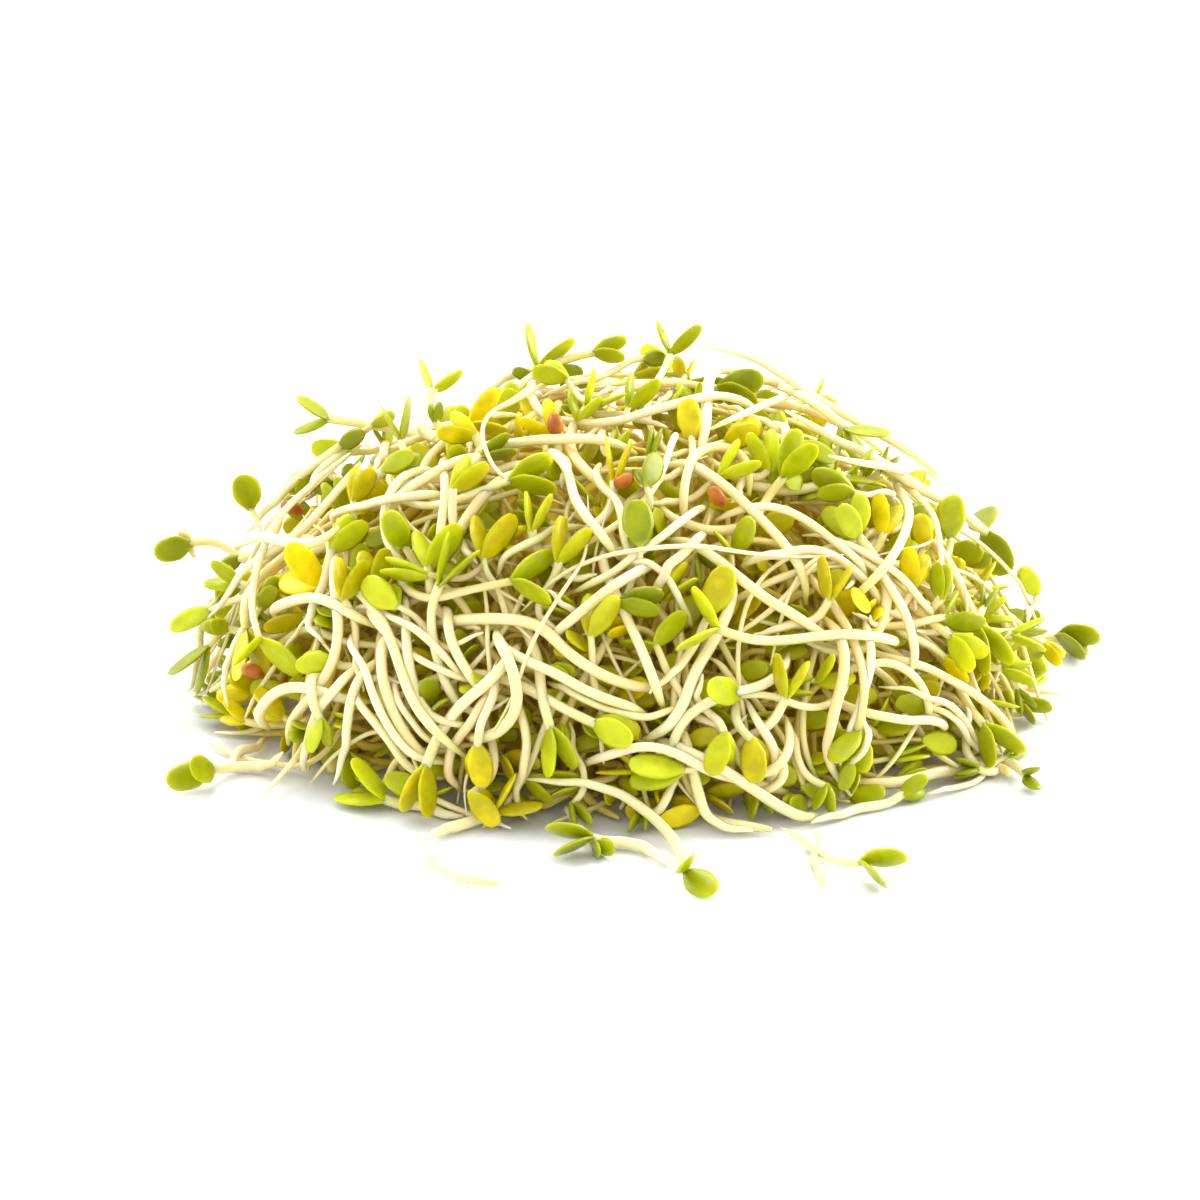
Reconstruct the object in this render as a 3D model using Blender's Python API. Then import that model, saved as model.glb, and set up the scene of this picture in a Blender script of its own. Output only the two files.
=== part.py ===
"""A pile of alfalfa sprouts lying on a table, as a script for Blender 4.5.

The pile is a low heap of pale, curved stems, each with a thin root at one end
and a pair of small green seed leaves at the other. The heap's underside is a
matted core that lies flat on the table. Sprouts that cross and cling together
are one tuft, a few single ones have slid off onto the table, and some empty
seed coats are caught between the stems.

The layout is worked out in millimetres, with X across the heap, Y away from
the viewer and Z up, and the table at Z = 0. Blender's units are metres.
"""

import math
import random

import bmesh
import bpy
import numpy as np
from mathutils import Matrix, Vector

MM = 0.001

# The heap.
HEAP_HALF_WIDTH = 42.5
HEAP_HALF_DEPTH = 34.0
HEAP_HEIGHT = 31.0
HEAP_FULLNESS = 0.66
RIDGE_DEPTH = 10.0
TABLE_DEPTH = 20.0
CORE_SHARE = 0.7
CORE_LUMPS = 2.4
CORE_SIDES = 14
CORE_BANDS = 10

# One sprout. A thickness is given as a radius.
STEM_RADIUS = 0.62
ROOT_TIP_RADIUS = 0.32
NECK_RADIUS = 0.55
SPROUT_LENGTHS = (24.0, 34.0)
POINTS_PER_SPROUT = 8
ROOT_SHARE = 0.4
LEAF_LENGTHS = (4.2, 5.2)
LEAF_WIDTH_SHARE = 0.58
LEAF_THICKNESS = 0.9
LEAF_SPREADS = (18.0, 55.0)
LEAF_SIDES = 4
LEAF_BANDS = 4
DEEP_LEAF_BANDS = 3
LEAF_PARTING = 0.25
LEAF_SINK = 0.35
SEED_LENGTH = 2.4
SEED_WIDTH = 1.7
SEED_THICKNESS = 1.4
SEED_SIDES = 8
SEED_BANDS = 6

# How close the sprouts lie. Tufts stay clear of each other by the gap, and
# sprouts of one tuft sink into each other where they cling together.
TUFT_GAP = 0.38
OWN_GAP = 0.1
CLING_SHARE = 0.4
CLING_PULL = 1.2
CLING_EASE = 0.9
LOOSE_SCRAP = 0.5
SMALLEST_EDGE = 0.0003

# How the sprouts settle: how stiffly stems keep their bend and leaves their
# spread, the middle share of a leaf that touches others, how strongly each
# rule acts in a round, and how the pull back to the layout fades.
SETTLE_ROUNDS = 320
NEIGHBOUR_ROUNDS = 6
CLING_ROUNDS = range(0, 240, 24)
STEM_STIFFNESS = 0.9
LONG_STIFFNESS = 0.5
LEAF_STIFFNESS = 0.6
LEAF_TOUCH = (0.3, 0.7)
LENGTH_STRENGTH = 1.6
APART_STRENGTH = 1.1
HOME_PULL = 0.3
HOME_FADE = 1.2

# How the heap is looked at: the height of the eye above the table in degrees,
# the scale, and where the middle of the heap's foot shows in the picture.
EYE_ELEVATION = math.radians(22.0)
PIXELS_PER_MM = 10.3
FOOT_PIXEL = (620.0, 690.0)

LAYOUT_SEED = 7
CORE = "matted_core"
MAT_SPROUTS = 38
MAT_WEAVE = 2.2
MAT_SINK = 0.7
MAT_ROUND = (0.06, 0.94)
MAT_FORWARD = 0.5
ROOTED_SHARE = 0.85
HEART = Vector((0.0, 0.0, 4.0))
TUCK_ON = 2.0
TUCK_IN = 2.6
HEAD_NECK = 1.8
HEAD_SHORTER = 6.0
HEAD_RUN_IN = 10.0
HEAD_SLIP_UNDER = 0.13
STRAND_HOLD = 0.25
HEAD_HOLD = 0.3
MAT_HOLD = 0.1
TUFTS = 10
SPROUTS_PER_TUFT = 4
LEAFY_PER_TUFT = 2
TUFT_SIDES = (math.radians(-25.0), math.radians(205.0))
LAYERS = (0.8, 0.9, 0.99)
GOLDEN_ANGLE = math.radians(137.5)

# Strands that stand out on the front of the heap, root end first: tuft, what
# its two ends do, and pixels of the picture that it passes through.
SEEN_STRANDS = (
    ("front_arch", ("tucked", "tucked"),
     ((443, 616), (514, 619), (545, 621), (571, 665), (606, 677), (655, 685))),
    ("front_arch", ("tucked", "tucked"),
     ((445, 614), (453, 639), (472, 665), (492, 690))),
    ("front_arch", ("tucked", "tucked"),
     ((640, 566), (625, 577), (590, 606), (560, 629))),
    ("front_fork", ("tucked", "tucked"),
     ((497, 640), (510, 654), (521, 686), (520, 711), (502, 732), (475, 738))),
    ("front_fork", ("tucked", "tucked"),
     ((508, 652), (533, 663), (562, 675), (600, 698), (632, 712))),
    ("front_fork", ("tucked", "leafy"),
     ((512, 660), (487, 686), (462, 704), (439, 727), (434, 760))),
    ("left_drape_upper", ("tucked", "tucked"),
     ((352, 587), (385, 615), (402, 645), (412, 685), (430, 715), (452, 737))),
    ("left_drape_lower", ("tucked", "tucked"),
     ((387, 640), (389, 673), (398, 702), (412, 727), (429, 752))),
    ("left_white", ("tucked", "tucked"),
     ((345, 562), (347, 606), (350, 652), (324, 688), (303, 711), (286, 732))),
    ("left_white", ("tucked", "tucked"),
     ((262, 715), (274, 698), (289, 686), (316, 683), (345, 690))),
    ("left_white", ("tucked", "tucked"),
     ((274, 610), (303, 600), (337, 597), (360, 604))),
    ("left_hanging", ("open", "tucked"),
     ((343, 778), (356, 750), (358, 721), (361, 692), (370, 670))),
    ("left_hanging", ("tucked", "tucked"),
     ((423, 762), (408, 746), (389, 721), (358, 695))),
    ("right_bar", ("tucked", "leafy"),
     ((890, 648), (850, 642), (810, 639), (772, 642), (738, 641), (708, 631))),
    ("right_bar", ("tucked", "tucked"),
     ((690, 535), (699, 549), (722, 574), (749, 595), (776, 610), (826, 630))),
    ("right_bar", ("open", "tucked"),
     ((843, 788), (824, 769), (814, 744), (818, 709), (828, 679), (836, 636))),
    ("right_bar", ("open", "tucked"),
     ((826, 760), (839, 732), (843, 705), (857, 679), (864, 638))),
    ("front_right_low", ("tucked", "tucked"),
     ((768, 652), (745, 660), (715, 683), (696, 704), (682, 723), (677, 750))),
    ("front_right_low", ("tucked", "tucked"),
     ((672, 744), (690, 748), (724, 766), (765, 794), (802, 817))),
    ("front_right_low", ("open", "tucked"),
     ((744, 825), (714, 822), (693, 789), (684, 742))),
    ("top_right_band", ("tucked", "tucked"),
     ((680, 462), (694, 472), (719, 487), (745, 514), (772, 541), (805, 580))),
    ("top_right_band", ("tucked", "tucked"),
     ((742, 510), (772, 508), (801, 520), (830, 541), (860, 569))),
    ("top_right_band", ("tucked", "tucked"),
     ((684, 505), (683, 472), (696, 456), (715, 449), (734, 453), (747, 468))),
    ("top_hook", ("tucked", "tucked"),
     ((703, 436), (703, 407), (707, 384), (732, 369), (756, 372))),
    ("top_sweep", ("tucked", "tucked"),
     ((675, 436), (669, 468), (654, 495), (631, 518), (596, 538))),
    ("centre_slant", ("tucked", "tucked"),
     ((548, 452), (566, 476), (573, 507), (583, 526), (600, 545))),
    ("centre_cross", ("tucked", "tucked"),
     ((694, 512), (657, 545), (629, 560), (606, 575), (588, 582))),
    ("centre_cross", ("tucked", "tucked"),
     ((606, 556), (618, 596), (636, 640), (648, 690))),
    ("front_right_low", ("tucked", "tucked"),
     ((648, 716), (672, 680), (700, 640), (728, 596))),
    ("left_top_cross", ("tucked", "tucked"),
     ((475, 458), (460, 466), (428, 484), (392, 507))),
    ("left_top_cross", ("tucked", "tucked"),
     ((443, 460), (447, 478), (451, 501), (443, 545))),
    ("left_top_cross", ("tucked", "tucked"),
     ((520, 474), (495, 487), (481, 507), (458, 540))),
    ("right_fall", ("tucked", "tucked"),
     ((890, 648), (925, 659), (948, 679), (967, 698), (983, 719), (1003, 736))),
    ("right_fall", ("tucked", "tucked"),
     ((862, 658), (890, 658), (910, 679), (924, 700))),
    ("right_fall", ("tucked", "tucked"),
     ((849, 696), (866, 711), (899, 723), (936, 729))),
    ("right_foot", ("tucked", "tucked"),
     ((885, 778), (933, 765), (985, 761), (1010, 772))),
)

# Sprouts whose seed leaves stand out on the heap: tuft, pixel at the base of
# the pair, the way it points in the picture in degrees, the leaf's length, and
# the pair's turn about its stem, from 0 for an open V to 90 for a face.
SEEN_HEADS = (
    ("heads_top_left", (431, 388), 75, 3.8, 10),
    ("heads_top_left", (404, 442), 95, 4.4, 0),
    ("heads_top_left", (470, 430), 20, 4.4, 60),
    ("heads_top", (540, 368), 78, 4.6, 30),
    ("heads_top", (594, 352), 0, 3.4, 70),
    ("heads_top", (590, 412), 60, 4.2, 20),
    ("heads_top_right", (718, 386), -10, 5.0, 85),
    ("heads_top_right", (670, 352), 80, 4.0, 40),
    ("heads_right_top", (812, 412), 60, 4.0, 10),
    ("heads_right_top", (775, 492), 75, 4.8, 60),
    ("heads_right_top", (846, 474), 30, 3.8, 20),
    ("heads_left", (370, 556), 95, 4.6, 90),
    ("heads_left", (302, 596), 98, 5.4, 65),
    ("heads_left", (410, 548), 110, 4.2, 80),
    ("heads_far_left", (243, 505), 92, 4.4, 90),
    ("heads_far_left", (184, 543), 190, 4.0, 70),
    ("heads_far_left", (240, 584), 140, 3.6, 20),
    ("heads_left_high", (326, 418), 160, 4.0, 10),
    ("heads_left_high", (345, 452), 150, 4.0, 50),
    ("heads_left_edge", (208, 648), 235, 4.6, 10),
    ("heads_left_edge", (252, 632), -80, 5.0, 45),
    ("left_top_cross", (520, 486), 5, 4.8, 75),
    ("heads_middle_left", (520, 584), 0, 4.8, 60),
    ("heads_middle_left", (452, 596), 70, 5.0, 15),
    ("heads_front_low", (598, 714), -15, 4.4, 85),
    ("heads_front_low", (552, 728), -75, 4.6, 30),
    ("front_right_low", (745, 700), 165, 4.8, 60),
    ("heads_right", (968, 628), -65, 4.8, 40),
    ("heads_right", (938, 640), -35, 4.2, 60),
    ("heads_right", (1006, 634), 30, 3.8, 30),
    ("heads_right_low", (966, 728), -60, 4.6, 50),
    ("heads_right_low", (988, 700), -60, 4.2, 20),
    ("right_bar", (842, 728), 250, 4.6, 45),
    ("heads_right_high", (945, 536), 95, 4.2, 85),
    ("heads_right_high", (846, 538), 140, 4.4, 60),
)

# Single sprouts that have slid off the heap, root end first: sprout, the layer
# of the heap that it leaves, next to none for one on the table, and pixels.
SEEN_STRAYS = (
    ("stray_left_front", 1.0, ((296, 752), (268, 764), (242, 768), (222, 778))),
    ("stray_left_pair", 1.0, ((470, 812), (440, 808), (412, 800), (392, 792))),
    ("stray_front_pair", 1.0, ((436, 832), (455, 824), (480, 812), (500, 800))),
    ("stray_front_arch", 1.0, ((530, 766), (566, 762), (604, 768), (635, 791), (663, 825), (684, 866))),
    ("stray_front_small", 1.0, ((664, 852), (640, 838), (612, 834), (590, 838))),
    ("stray_right_front", 1.0, ((770, 822), (800, 840), (822, 852), (844, 860))),
    ("stray_far_right", 0.01, ((962, 652), (1000, 640), (1034, 640), (1068, 652))),
)

SEEN_SEEDS = (
    ("seed_coat_front", (711, 502)),
    ("seed_coat_left", (294, 509)),
    ("seed_coat_top", (556, 430)),
    ("seed_coat_middle", (622, 486)),
    ("seed_coat_low_left", (262, 668)),
)

# Colours, as shares of red, green and blue, with the roughness of each.
STEM_LOOK = ((0.92, 0.85, 0.58), 0.45)
LEAF_LOOK = ((0.36, 0.42, 0.03), 0.5)
CORE_LOOK = ((0.24, 0.18, 0.03), 0.7)
SEED_LOOK = ((0.55, 0.22, 0.04), 0.4)
SHARP_ANGLE = math.radians(50.0)


def clear_scene():
    for obj in list(bpy.data.objects):
        bpy.data.objects.remove(obj)


def material(name, look):
    """A plain coloured surface of the given colour and roughness."""
    colour, roughness = look
    made = bpy.data.materials.new(name)
    made.use_nodes = True
    shader = made.node_tree.nodes["Principled BSDF"]
    shader.inputs["Base Color"].default_value = (*colour, 1.0)
    shader.inputs["Roughness"].default_value = roughness
    shader.inputs["Metallic"].default_value = 0.0
    return made


# The heap's own shape, and where a pixel of the picture lies on it.


def heap_height(x, y, share):
    """Height of a layer inside the heap, whose outside is share 1."""
    across = x / (HEAP_HALF_WIDTH * share)
    away = y / (HEAP_HALF_DEPTH * share)
    room = 1.0 - across * across - away * away
    return HEAP_HEIGHT * share * max(room, 0.0) ** HEAP_FULLNESS


def core_share(point):
    """How far out a point lies, as a share of the distance to the core's surface."""
    sizes = (HEAP_HALF_WIDTH, HEAP_HALF_DEPTH, HEAP_HEIGHT)
    return max(Vector(point[axis] / (CORE_SHARE * sizes[axis]) for axis in range(3)).length, 0.01)


def seen_at(pixel, share):
    """The point of a layer of the heap, or of the table, that shows at a pixel."""
    across = (pixel[0] - FOOT_PIXEL[0]) / PIXELS_PER_MM
    up = (FOOT_PIXEL[1] - pixel[1]) / PIXELS_PER_MM
    rise = math.tan(EYE_ELEVATION)
    drop = up / math.cos(EYE_ELEVATION)
    away = -1.6 * HEAP_HALF_DEPTH
    nearest = (-1e9, 0.0)
    while away < TABLE_DEPTH:
        height = drop - away * rise
        over = heap_height(across, away, share) - height
        if over >= 0.0 or height <= 0.0:
            return Vector((across, away, max(height, 0.0)))
        if away < RIDGE_DEPTH:
            nearest = max(nearest, (over, away))
        away += 0.25
    away = nearest[1]
    return Vector((across, away, drop - away * rise))


# A strand is a dictionary: the tuft it belongs to, its points from the root's
# tip to the neck, a radius at each, and its two leaves if it has them.


def strand(tuft, points, radii, leaf=0.0, spread=0.0, side=None, held=0.0):
    return {
        "tuft": tuft,
        "points": points,
        "radii": radii,
        "leaf": leaf,
        "spread": spread,
        "side": side,
        "held": held,
    }


def stem_radii(count, has_root):
    """Radii from the root's tip, through the thicker stem, to the neck."""
    radii = []
    for place in range(count):
        along = place / (count - 1)
        if has_root and along < ROOT_SHARE:
            grown = along / ROOT_SHARE
            radii.append(ROOT_TIP_RADIUS + (STEM_RADIUS - ROOT_TIP_RADIUS) * grown)
        else:
            ripened = max(0.0, (along - 0.7) / 0.3)
            radii.append(STEM_RADIUS + (NECK_RADIUS - STEM_RADIUS) * ripened)
    return radii


def evenly_spaced(points, count):
    """The same line with a number of points at equal distances."""
    reached = [0.0]
    for a, b in zip(points, points[1:]):
        reached.append(reached[-1] + (b - a).length)
    spaced = []
    piece = 0
    for place in range(count):
        wanted = reached[-1] * place / (count - 1)
        while piece < len(points) - 2 and reached[piece + 1] < wanted:
            piece += 1
        share = (wanted - reached[piece]) / max(reached[piece + 1] - reached[piece], 1e-6)
        spaced.append(points[piece].lerp(points[piece + 1], min(share, 1.0)))
    return spaced


def walk(rng, start, heading, share, length, turn, lift):
    """A line that wanders over a layer of the heap, as a limp stem lies on it."""
    x, y = start
    line = [Vector((x, y, heap_height(x, y, share) + lift))]
    wobble = 0.0
    for _ in range(int(length)):
        wobble = 0.8 * wobble + rng.uniform(-0.07, 0.07)
        heading += turn + wobble
        here = heap_height(x, y, share)
        ahead = heap_height(x + 0.3 * math.cos(heading), y + 0.3 * math.sin(heading), share)
        slope = max(-2.5, min(2.5, (ahead - here) / 0.3))
        stride = 1.0 / math.sqrt(1.0 + slope * slope)
        x += stride * math.cos(heading)
        y += stride * math.sin(heading)
        line.append(Vector((x, y, heap_height(x, y, share) + lift)))
    return line


def on_or_above_table(points):
    for point in points:
        point.z = max(point.z, STEM_RADIUS)
    return points


def side_of(rng, along):
    """A direction square to the stem's end, in which its two leaves part."""
    spin = rng.uniform(0.0, 2.0 * math.pi)
    square = along.orthogonal().normalized()
    return Matrix.Rotation(spin, 3, along) @ square


def whole_sprout(tuft, line, leaf, spread, side, held=0.0):
    """A sprout along a line from its root's tip to its two seed leaves."""
    points = on_or_above_table(evenly_spaced(line, POINTS_PER_SPROUT))
    radii = stem_radii(len(points), True)
    return strand(tuft, points, radii, leaf, math.radians(spread), side, held)


def wandering_sprout(rng, tuft, crossing, heading, share, lift):
    """A sprout of any shape that passes over a point of the heap."""
    length = rng.uniform(*SPROUT_LENGTHS)
    turn = math.radians(rng.uniform(-5.0, 5.0))
    before = length * rng.uniform(0.35, 0.65)
    back = walk(rng, crossing, heading + math.pi, share, before, -turn, lift)
    front = walk(rng, crossing, heading, share, length - before, turn, lift)
    line = back[::-1] + front[1:]
    side = side_of(rng, line[-1] - line[-2])
    leaf = rng.uniform(*LEAF_LENGTHS)
    return whole_sprout(tuft, line, leaf, rng.uniform(*LEAF_SPREADS), side)


def mat_sprouts(rng):
    """Stems that rise out of the matted core and sink back, all the way round it."""
    made = []
    for number in range(MAT_SPROUTS):
        angle = number * GOLDEN_ANGLE
        angle -= MAT_FORWARD * math.cos(angle)
        up = MAT_ROUND[0] + (MAT_ROUND[1] - MAT_ROUND[0]) * (number + 0.5) / MAT_SPROUTS
        out = math.sqrt(1.0 - up * up)
        crossing = (
            HEAP_HALF_WIDTH * CORE_SHARE * out * math.cos(angle),
            HEAP_HALF_DEPTH * CORE_SHARE * out * math.sin(angle),
        )
        heading = angle + math.radians(rng.uniform(20.0, 160.0))
        stem = wandering_sprout(rng, CORE, crossing, heading, CORE_SHARE, 0.0)
        stem["leaf"] = 0.0
        last = len(stem["points"]) - 1
        holds = []
        for place, point in enumerate(stem["points"]):
            outward = (point + HEART).normalized()
            swing = 2.0 * math.sqrt(math.sin(math.pi * place / last)) - 1.0
            point += outward * (MAT_WEAVE * swing - MAT_SINK)
            point.z = max(point.z, STEM_RADIUS)
            holds.append(MAT_HOLD)
            if swing < -0.3:
                holds[-1] = 1.0
                point *= min(1.0, ROOTED_SHARE / core_share(point))
        stem["held"] = holds
        made.append(stem)
    return made


def tuft_sprouts(rng):
    """Tufts of sprouts that cross, in layers over the heap's back and sides."""
    made = []
    for number in range(TUFTS):
        angle = TUFT_SIDES[0] + (TUFT_SIDES[1] - TUFT_SIDES[0]) * ((number * 0.618) % 1.0)
        out = 0.3 + 0.62 * (number + 0.5) / TUFTS
        share = LAYERS[number % len(LAYERS)]
        crossing = (
            HEAP_HALF_WIDTH * share * out * math.cos(angle),
            HEAP_HALF_DEPTH * share * out * math.sin(angle),
        )
        heading = rng.uniform(0.0, math.pi)
        for member in range(SPROUTS_PER_TUFT):
            turned = heading + member * math.pi / SPROUTS_PER_TUFT
            turned += math.pi * rng.randrange(2) + rng.uniform(-0.3, 0.3)
            name = f"tuft_{number + 1:02d}"
            sprout = wandering_sprout(rng, name, crossing, turned, share, 0.9 * member)
            if member % 2 and member // 2 < SPROUTS_PER_TUFT - LEAFY_PER_TUFT:
                sprout["leaf"] = 0.0
            made.append(sprout)
    return made


def tucked_end(end, before):
    """Where a strand goes that slips in under the others."""
    return end + (end - before).normalized() * TUCK_ON + (HEART - end).normalized() * TUCK_IN


def seen_strands(rng):
    """The strands that stand out on the front, laid on the heap's outside."""
    made = []
    for tuft, (root_end, neck_end), pixels in SEEN_STRANDS:
        line = [seen_at(pixel, 1.0) for pixel in pixels]
        if root_end == "tucked":
            line.insert(0, tucked_end(line[0], line[1]))
        if neck_end == "tucked":
            line.append(tucked_end(line[-1], line[-2]))
        points = on_or_above_table(evenly_spaced(line, POINTS_PER_SPROUT))
        leaf = rng.uniform(*LEAF_LENGTHS) if neck_end == "leafy" else 0.0
        spread = math.radians(rng.uniform(*LEAF_SPREADS))
        side = side_of(rng, points[-1] - points[-2])
        radii = stem_radii(len(points), root_end == "open")
        made.append(strand(tuft, points, radii, leaf, spread, side, held=STRAND_HOLD))
    return made


def seen_heads(rng):
    """Sprouts whose leaves stand out, with the stem run back under the others."""
    made = []
    for tuft, pixel, pointing, leaf, showing in SEEN_HEADS:
        angle = math.radians(pointing)
        base = seen_at(pixel, 1.0)
        along = Vector((math.cos(angle), -0.2, math.sin(angle))).normalized()
        neck = base - along * HEAD_NECK
        lift = neck.z - heap_height(neck.x, neck.y, 1.0)
        length = rng.uniform(*SPROUT_LENGTHS) - HEAD_SHORTER
        homeward = math.atan2(-neck.y, -neck.x) - (angle + math.pi)
        homeward = (homeward + math.pi) % (2.0 * math.pi) - math.pi
        turn = homeward / length + math.radians(rng.uniform(-2.0, 2.0))
        line = [base, neck]
        run = walk(rng, neck[:2], angle + math.pi, 1.0, length, turn, 0.0)
        for gone, point in enumerate(run[1:], 1):
            point.z += lift * max(0.0, 1.0 - gone / HEAD_RUN_IN) - HEAD_SLIP_UNDER * gone
            point.z = min(point.z, neck.z + 0.5 * gone)
            line.append(point)
        across = Vector((math.sin(angle), 0.0, -math.cos(angle)))
        turned = math.radians(showing)
        viewward = Vector((0.0, -1.0, 0.0))
        side = (across * math.cos(turned) + viewward * math.sin(turned)).normalized()
        sprout = whole_sprout(tuft, line[::-1], leaf, rng.uniform(20.0, 42.0), side)
        last = len(sprout["points"]) - 1
        sprout["held"] = [HEAD_HOLD * (place / last) ** 2 for place in range(last + 1)]
        made.append(sprout)
    return made


def seen_strays(rng):
    """Single sprouts that lie on the table round the heap."""
    made = []
    for name, layer, pixels in SEEN_STRAYS:
        line = [seen_at(pixel, layer) for pixel in pixels]
        leaf = rng.uniform(*LEAF_LENGTHS)
        upward = Vector((rng.uniform(-0.4, 0.4), 0.0, 1.0)).normalized()
        spread = rng.uniform(18.0, 32.0)
        made.append(whole_sprout(name, line, leaf, spread, upward, held=STRAND_HOLD))
    return made


def seed_coats(rng):
    """Empty seed coats, each a short line with the seed's own radius."""
    made = []
    for name, pixel in SEEN_SEEDS:
        middle = seen_at(pixel, 1.02)
        lean = Vector((rng.uniform(-1, 1), rng.uniform(-0.3, 0.3), rng.uniform(-1, 1))).normalized()
        half = 0.5 * (SEED_LENGTH - SEED_WIDTH) * lean
        ends = [middle - half, middle + half]
        made.append(strand(name, ends, [0.5 * SEED_WIDTH] * 2, held=STRAND_HOLD))
    return made


def all_strands():
    rng = random.Random(LAYOUT_SEED)
    made = mat_sprouts(rng)
    made += tuft_sprouts(rng)
    made += seen_strands(rng)
    made += seen_heads(rng)
    made += seen_strays(rng)
    made += seed_coats(rng)
    return made


# Settling: the points are moved step by step until no two tufts touch, each
# stem keeps its length and bends gently, and sprouts of one tuft cling.


def dot(a, b):
    return a[:, 0] * b[:, 0] + a[:, 1] * b[:, 1] + a[:, 2] * b[:, 2]


def nearest_shares(a0, a1, b0, b1):
    """How far along each of two sets of straight pieces they come closest."""
    u, v, w = a1 - a0, b1 - b0, a0 - b0
    uu, uv, vv = dot(u, u), dot(u, v), dot(v, v)
    uw, vw = dot(u, w), dot(v, w)
    spare = uu * vv - uv * uv
    s = np.where(spare > 1e-6, (uv * vw - vv * uw) / np.maximum(spare, 1e-6), 0.5)
    s = np.minimum(np.maximum(s, 0.0), 1.0)
    t = np.minimum(np.maximum((uv * s + vw) / vv, 0.0), 1.0)
    s = np.minimum(np.maximum((uv * t - uw) / uu, 0.0), 1.0)
    return s, t


class Settling:
    """All the strands as points, links that keep lengths, and solid pieces."""

    def __init__(self, strands):
        self.strands = strands
        self.tufts = sorted({each["tuft"] for each in strands})
        points, held, links, pieces = [], [], [], []
        for number, each in enumerate(strands):
            base = len(points)
            each["first"] = base
            line, radii = each["points"], each["radii"]
            tuft = self.tufts.index(each["tuft"])
            points += [tuple(round(c, 6) for c in point) for point in line]
            holds = each["held"]
            if not isinstance(holds, list):
                holds = [holds] * len(line)
            held += holds
            for place in range(len(line) - 1):
                rest = (line[place + 1] - line[place]).length
                links.append((base + place, base + place + 1, rest, 1.0))
                radius = max(radii[place], radii[place + 1])
                ends = (base + place, base + place + 1)
                inner = 0 < place < len(line) - 2
                pieces.append((*ends, 0.0, 1.0, radius, number, tuft, inner))
            for place in range(len(line) - 2):
                rest = (line[place + 2] - line[place]).length
                links.append((base + place, base + place + 2, rest, STEM_STIFFNESS))
            for place in range(len(line) - 3):
                rest = (line[place + 3] - line[place]).length
                links.append((base + place, base + place + 3, rest, LONG_STIFFNESS))
            if each["leaf"]:
                self.add_leaves(each, base, number, tuft, points, held, links, pieces)
                held += [holds[-1]] * 2
        self.points = np.array(points)
        self.home = self.points.copy()
        self.held = np.array(held)[:, None]
        self.link_ends = np.array([link[:2] for link in links])
        self.link_rest = np.array([link[2] for link in links])
        self.link_pull = np.array([link[3] for link in links])
        self.piece_ends = np.array([piece[:2] for piece in pieces])
        self.piece_from = np.array([piece[2] for piece in pieces])[:, None]
        self.piece_to = np.array([piece[3] for piece in pieces])[:, None]
        self.piece_radius = np.array([piece[4] for piece in pieces])
        self.piece_strand = np.array([piece[5] for piece in pieces])
        self.piece_tuft = np.array([piece[6] for piece in pieces])
        self.inner = np.array([piece[7] for piece in pieces])

    def add_leaves(self, each, base, number, tuft, points, held, links, pieces):
        line, leaf = each["points"], each["leaf"]
        neck = base + len(line) - 1
        along = (line[-1] - line[-2]).normalized()
        side = each["side"] - along * each["side"].dot(along)
        side = side.normalized() if side.length > 0.1 else along.orthogonal().normalized()
        reach = leaf * math.cos(each["spread"])
        part = leaf * math.sin(each["spread"])
        radius = 0.5 * leaf * LEAF_WIDTH_SHARE
        tips = []
        for sign in (1.0, -1.0):
            tip = line[-1] + along * reach + side * (sign * part)
            tip.z = max(tip.z, 0.5 * LEAF_THICKNESS)
            tips.append(len(points))
            points.append(tuple(round(c, 6) for c in tip))
            links.append((neck, tips[-1], leaf, 1.0))
            links.append((neck - 1, tips[-1], (tip - line[-2]).length, LEAF_STIFFNESS))
            pieces.append((neck, tips[-1], *LEAF_TOUCH, radius, number, tuft, False))
        links.append((tips[0], tips[1], 2.0 * part, LEAF_STIFFNESS))
        each["tips"] = tips

    def ends_of(self, pieces):
        ends = self.piece_ends[pieces]
        first, second = self.points[ends[:, 0]], self.points[ends[:, 1]]
        step = second - first
        return first + step * self.piece_from[pieces], first + step * self.piece_to[pieces]

    def pair_gaps(self, a, b):
        """Closest points of pairs of pieces, as shares along each, and their gap."""
        a0, a1 = self.ends_of(a)
        b0, b1 = self.ends_of(b)
        s, t = nearest_shares(a0, a1, b0, b1)
        gap = a0 + (a1 - a0) * s[:, None] - b0 - (b1 - b0) * t[:, None]
        return s, t, gap, np.sqrt(dot(gap, gap))

    def find_clings(self):
        """Pairs of strands of one tuft that cling, so that each tuft holds together."""
        clings = []
        for tuft in range(len(self.tufts)):
            members = [n for n, s in enumerate(self.strands) if s["tuft"] == self.tufts[tuft]]
            if len(members) < 2 or self.tufts[tuft] == CORE:
                continue
            joined = [members.pop(0)]
            while members:
                options = [(self.strand_gap(a, b), a, b) for a in joined for b in members]
                _, a, b = min(options)
                clings.append((a, b))
                joined.append(b)
                members.remove(b)
        return clings

    def stem_pairs(self, a, b):
        """Every pairing of the inner pieces of two stems, without their end pieces."""
        inner_a, inner_b = (np.flatnonzero(self.inner & (self.piece_strand == n)) for n in (a, b))
        return np.repeat(inner_a, len(inner_b)), np.tile(inner_b, len(inner_a))

    def strand_gap(self, a, b):
        return float(self.pair_gaps(*self.stem_pairs(a, b))[3].min())

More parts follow.
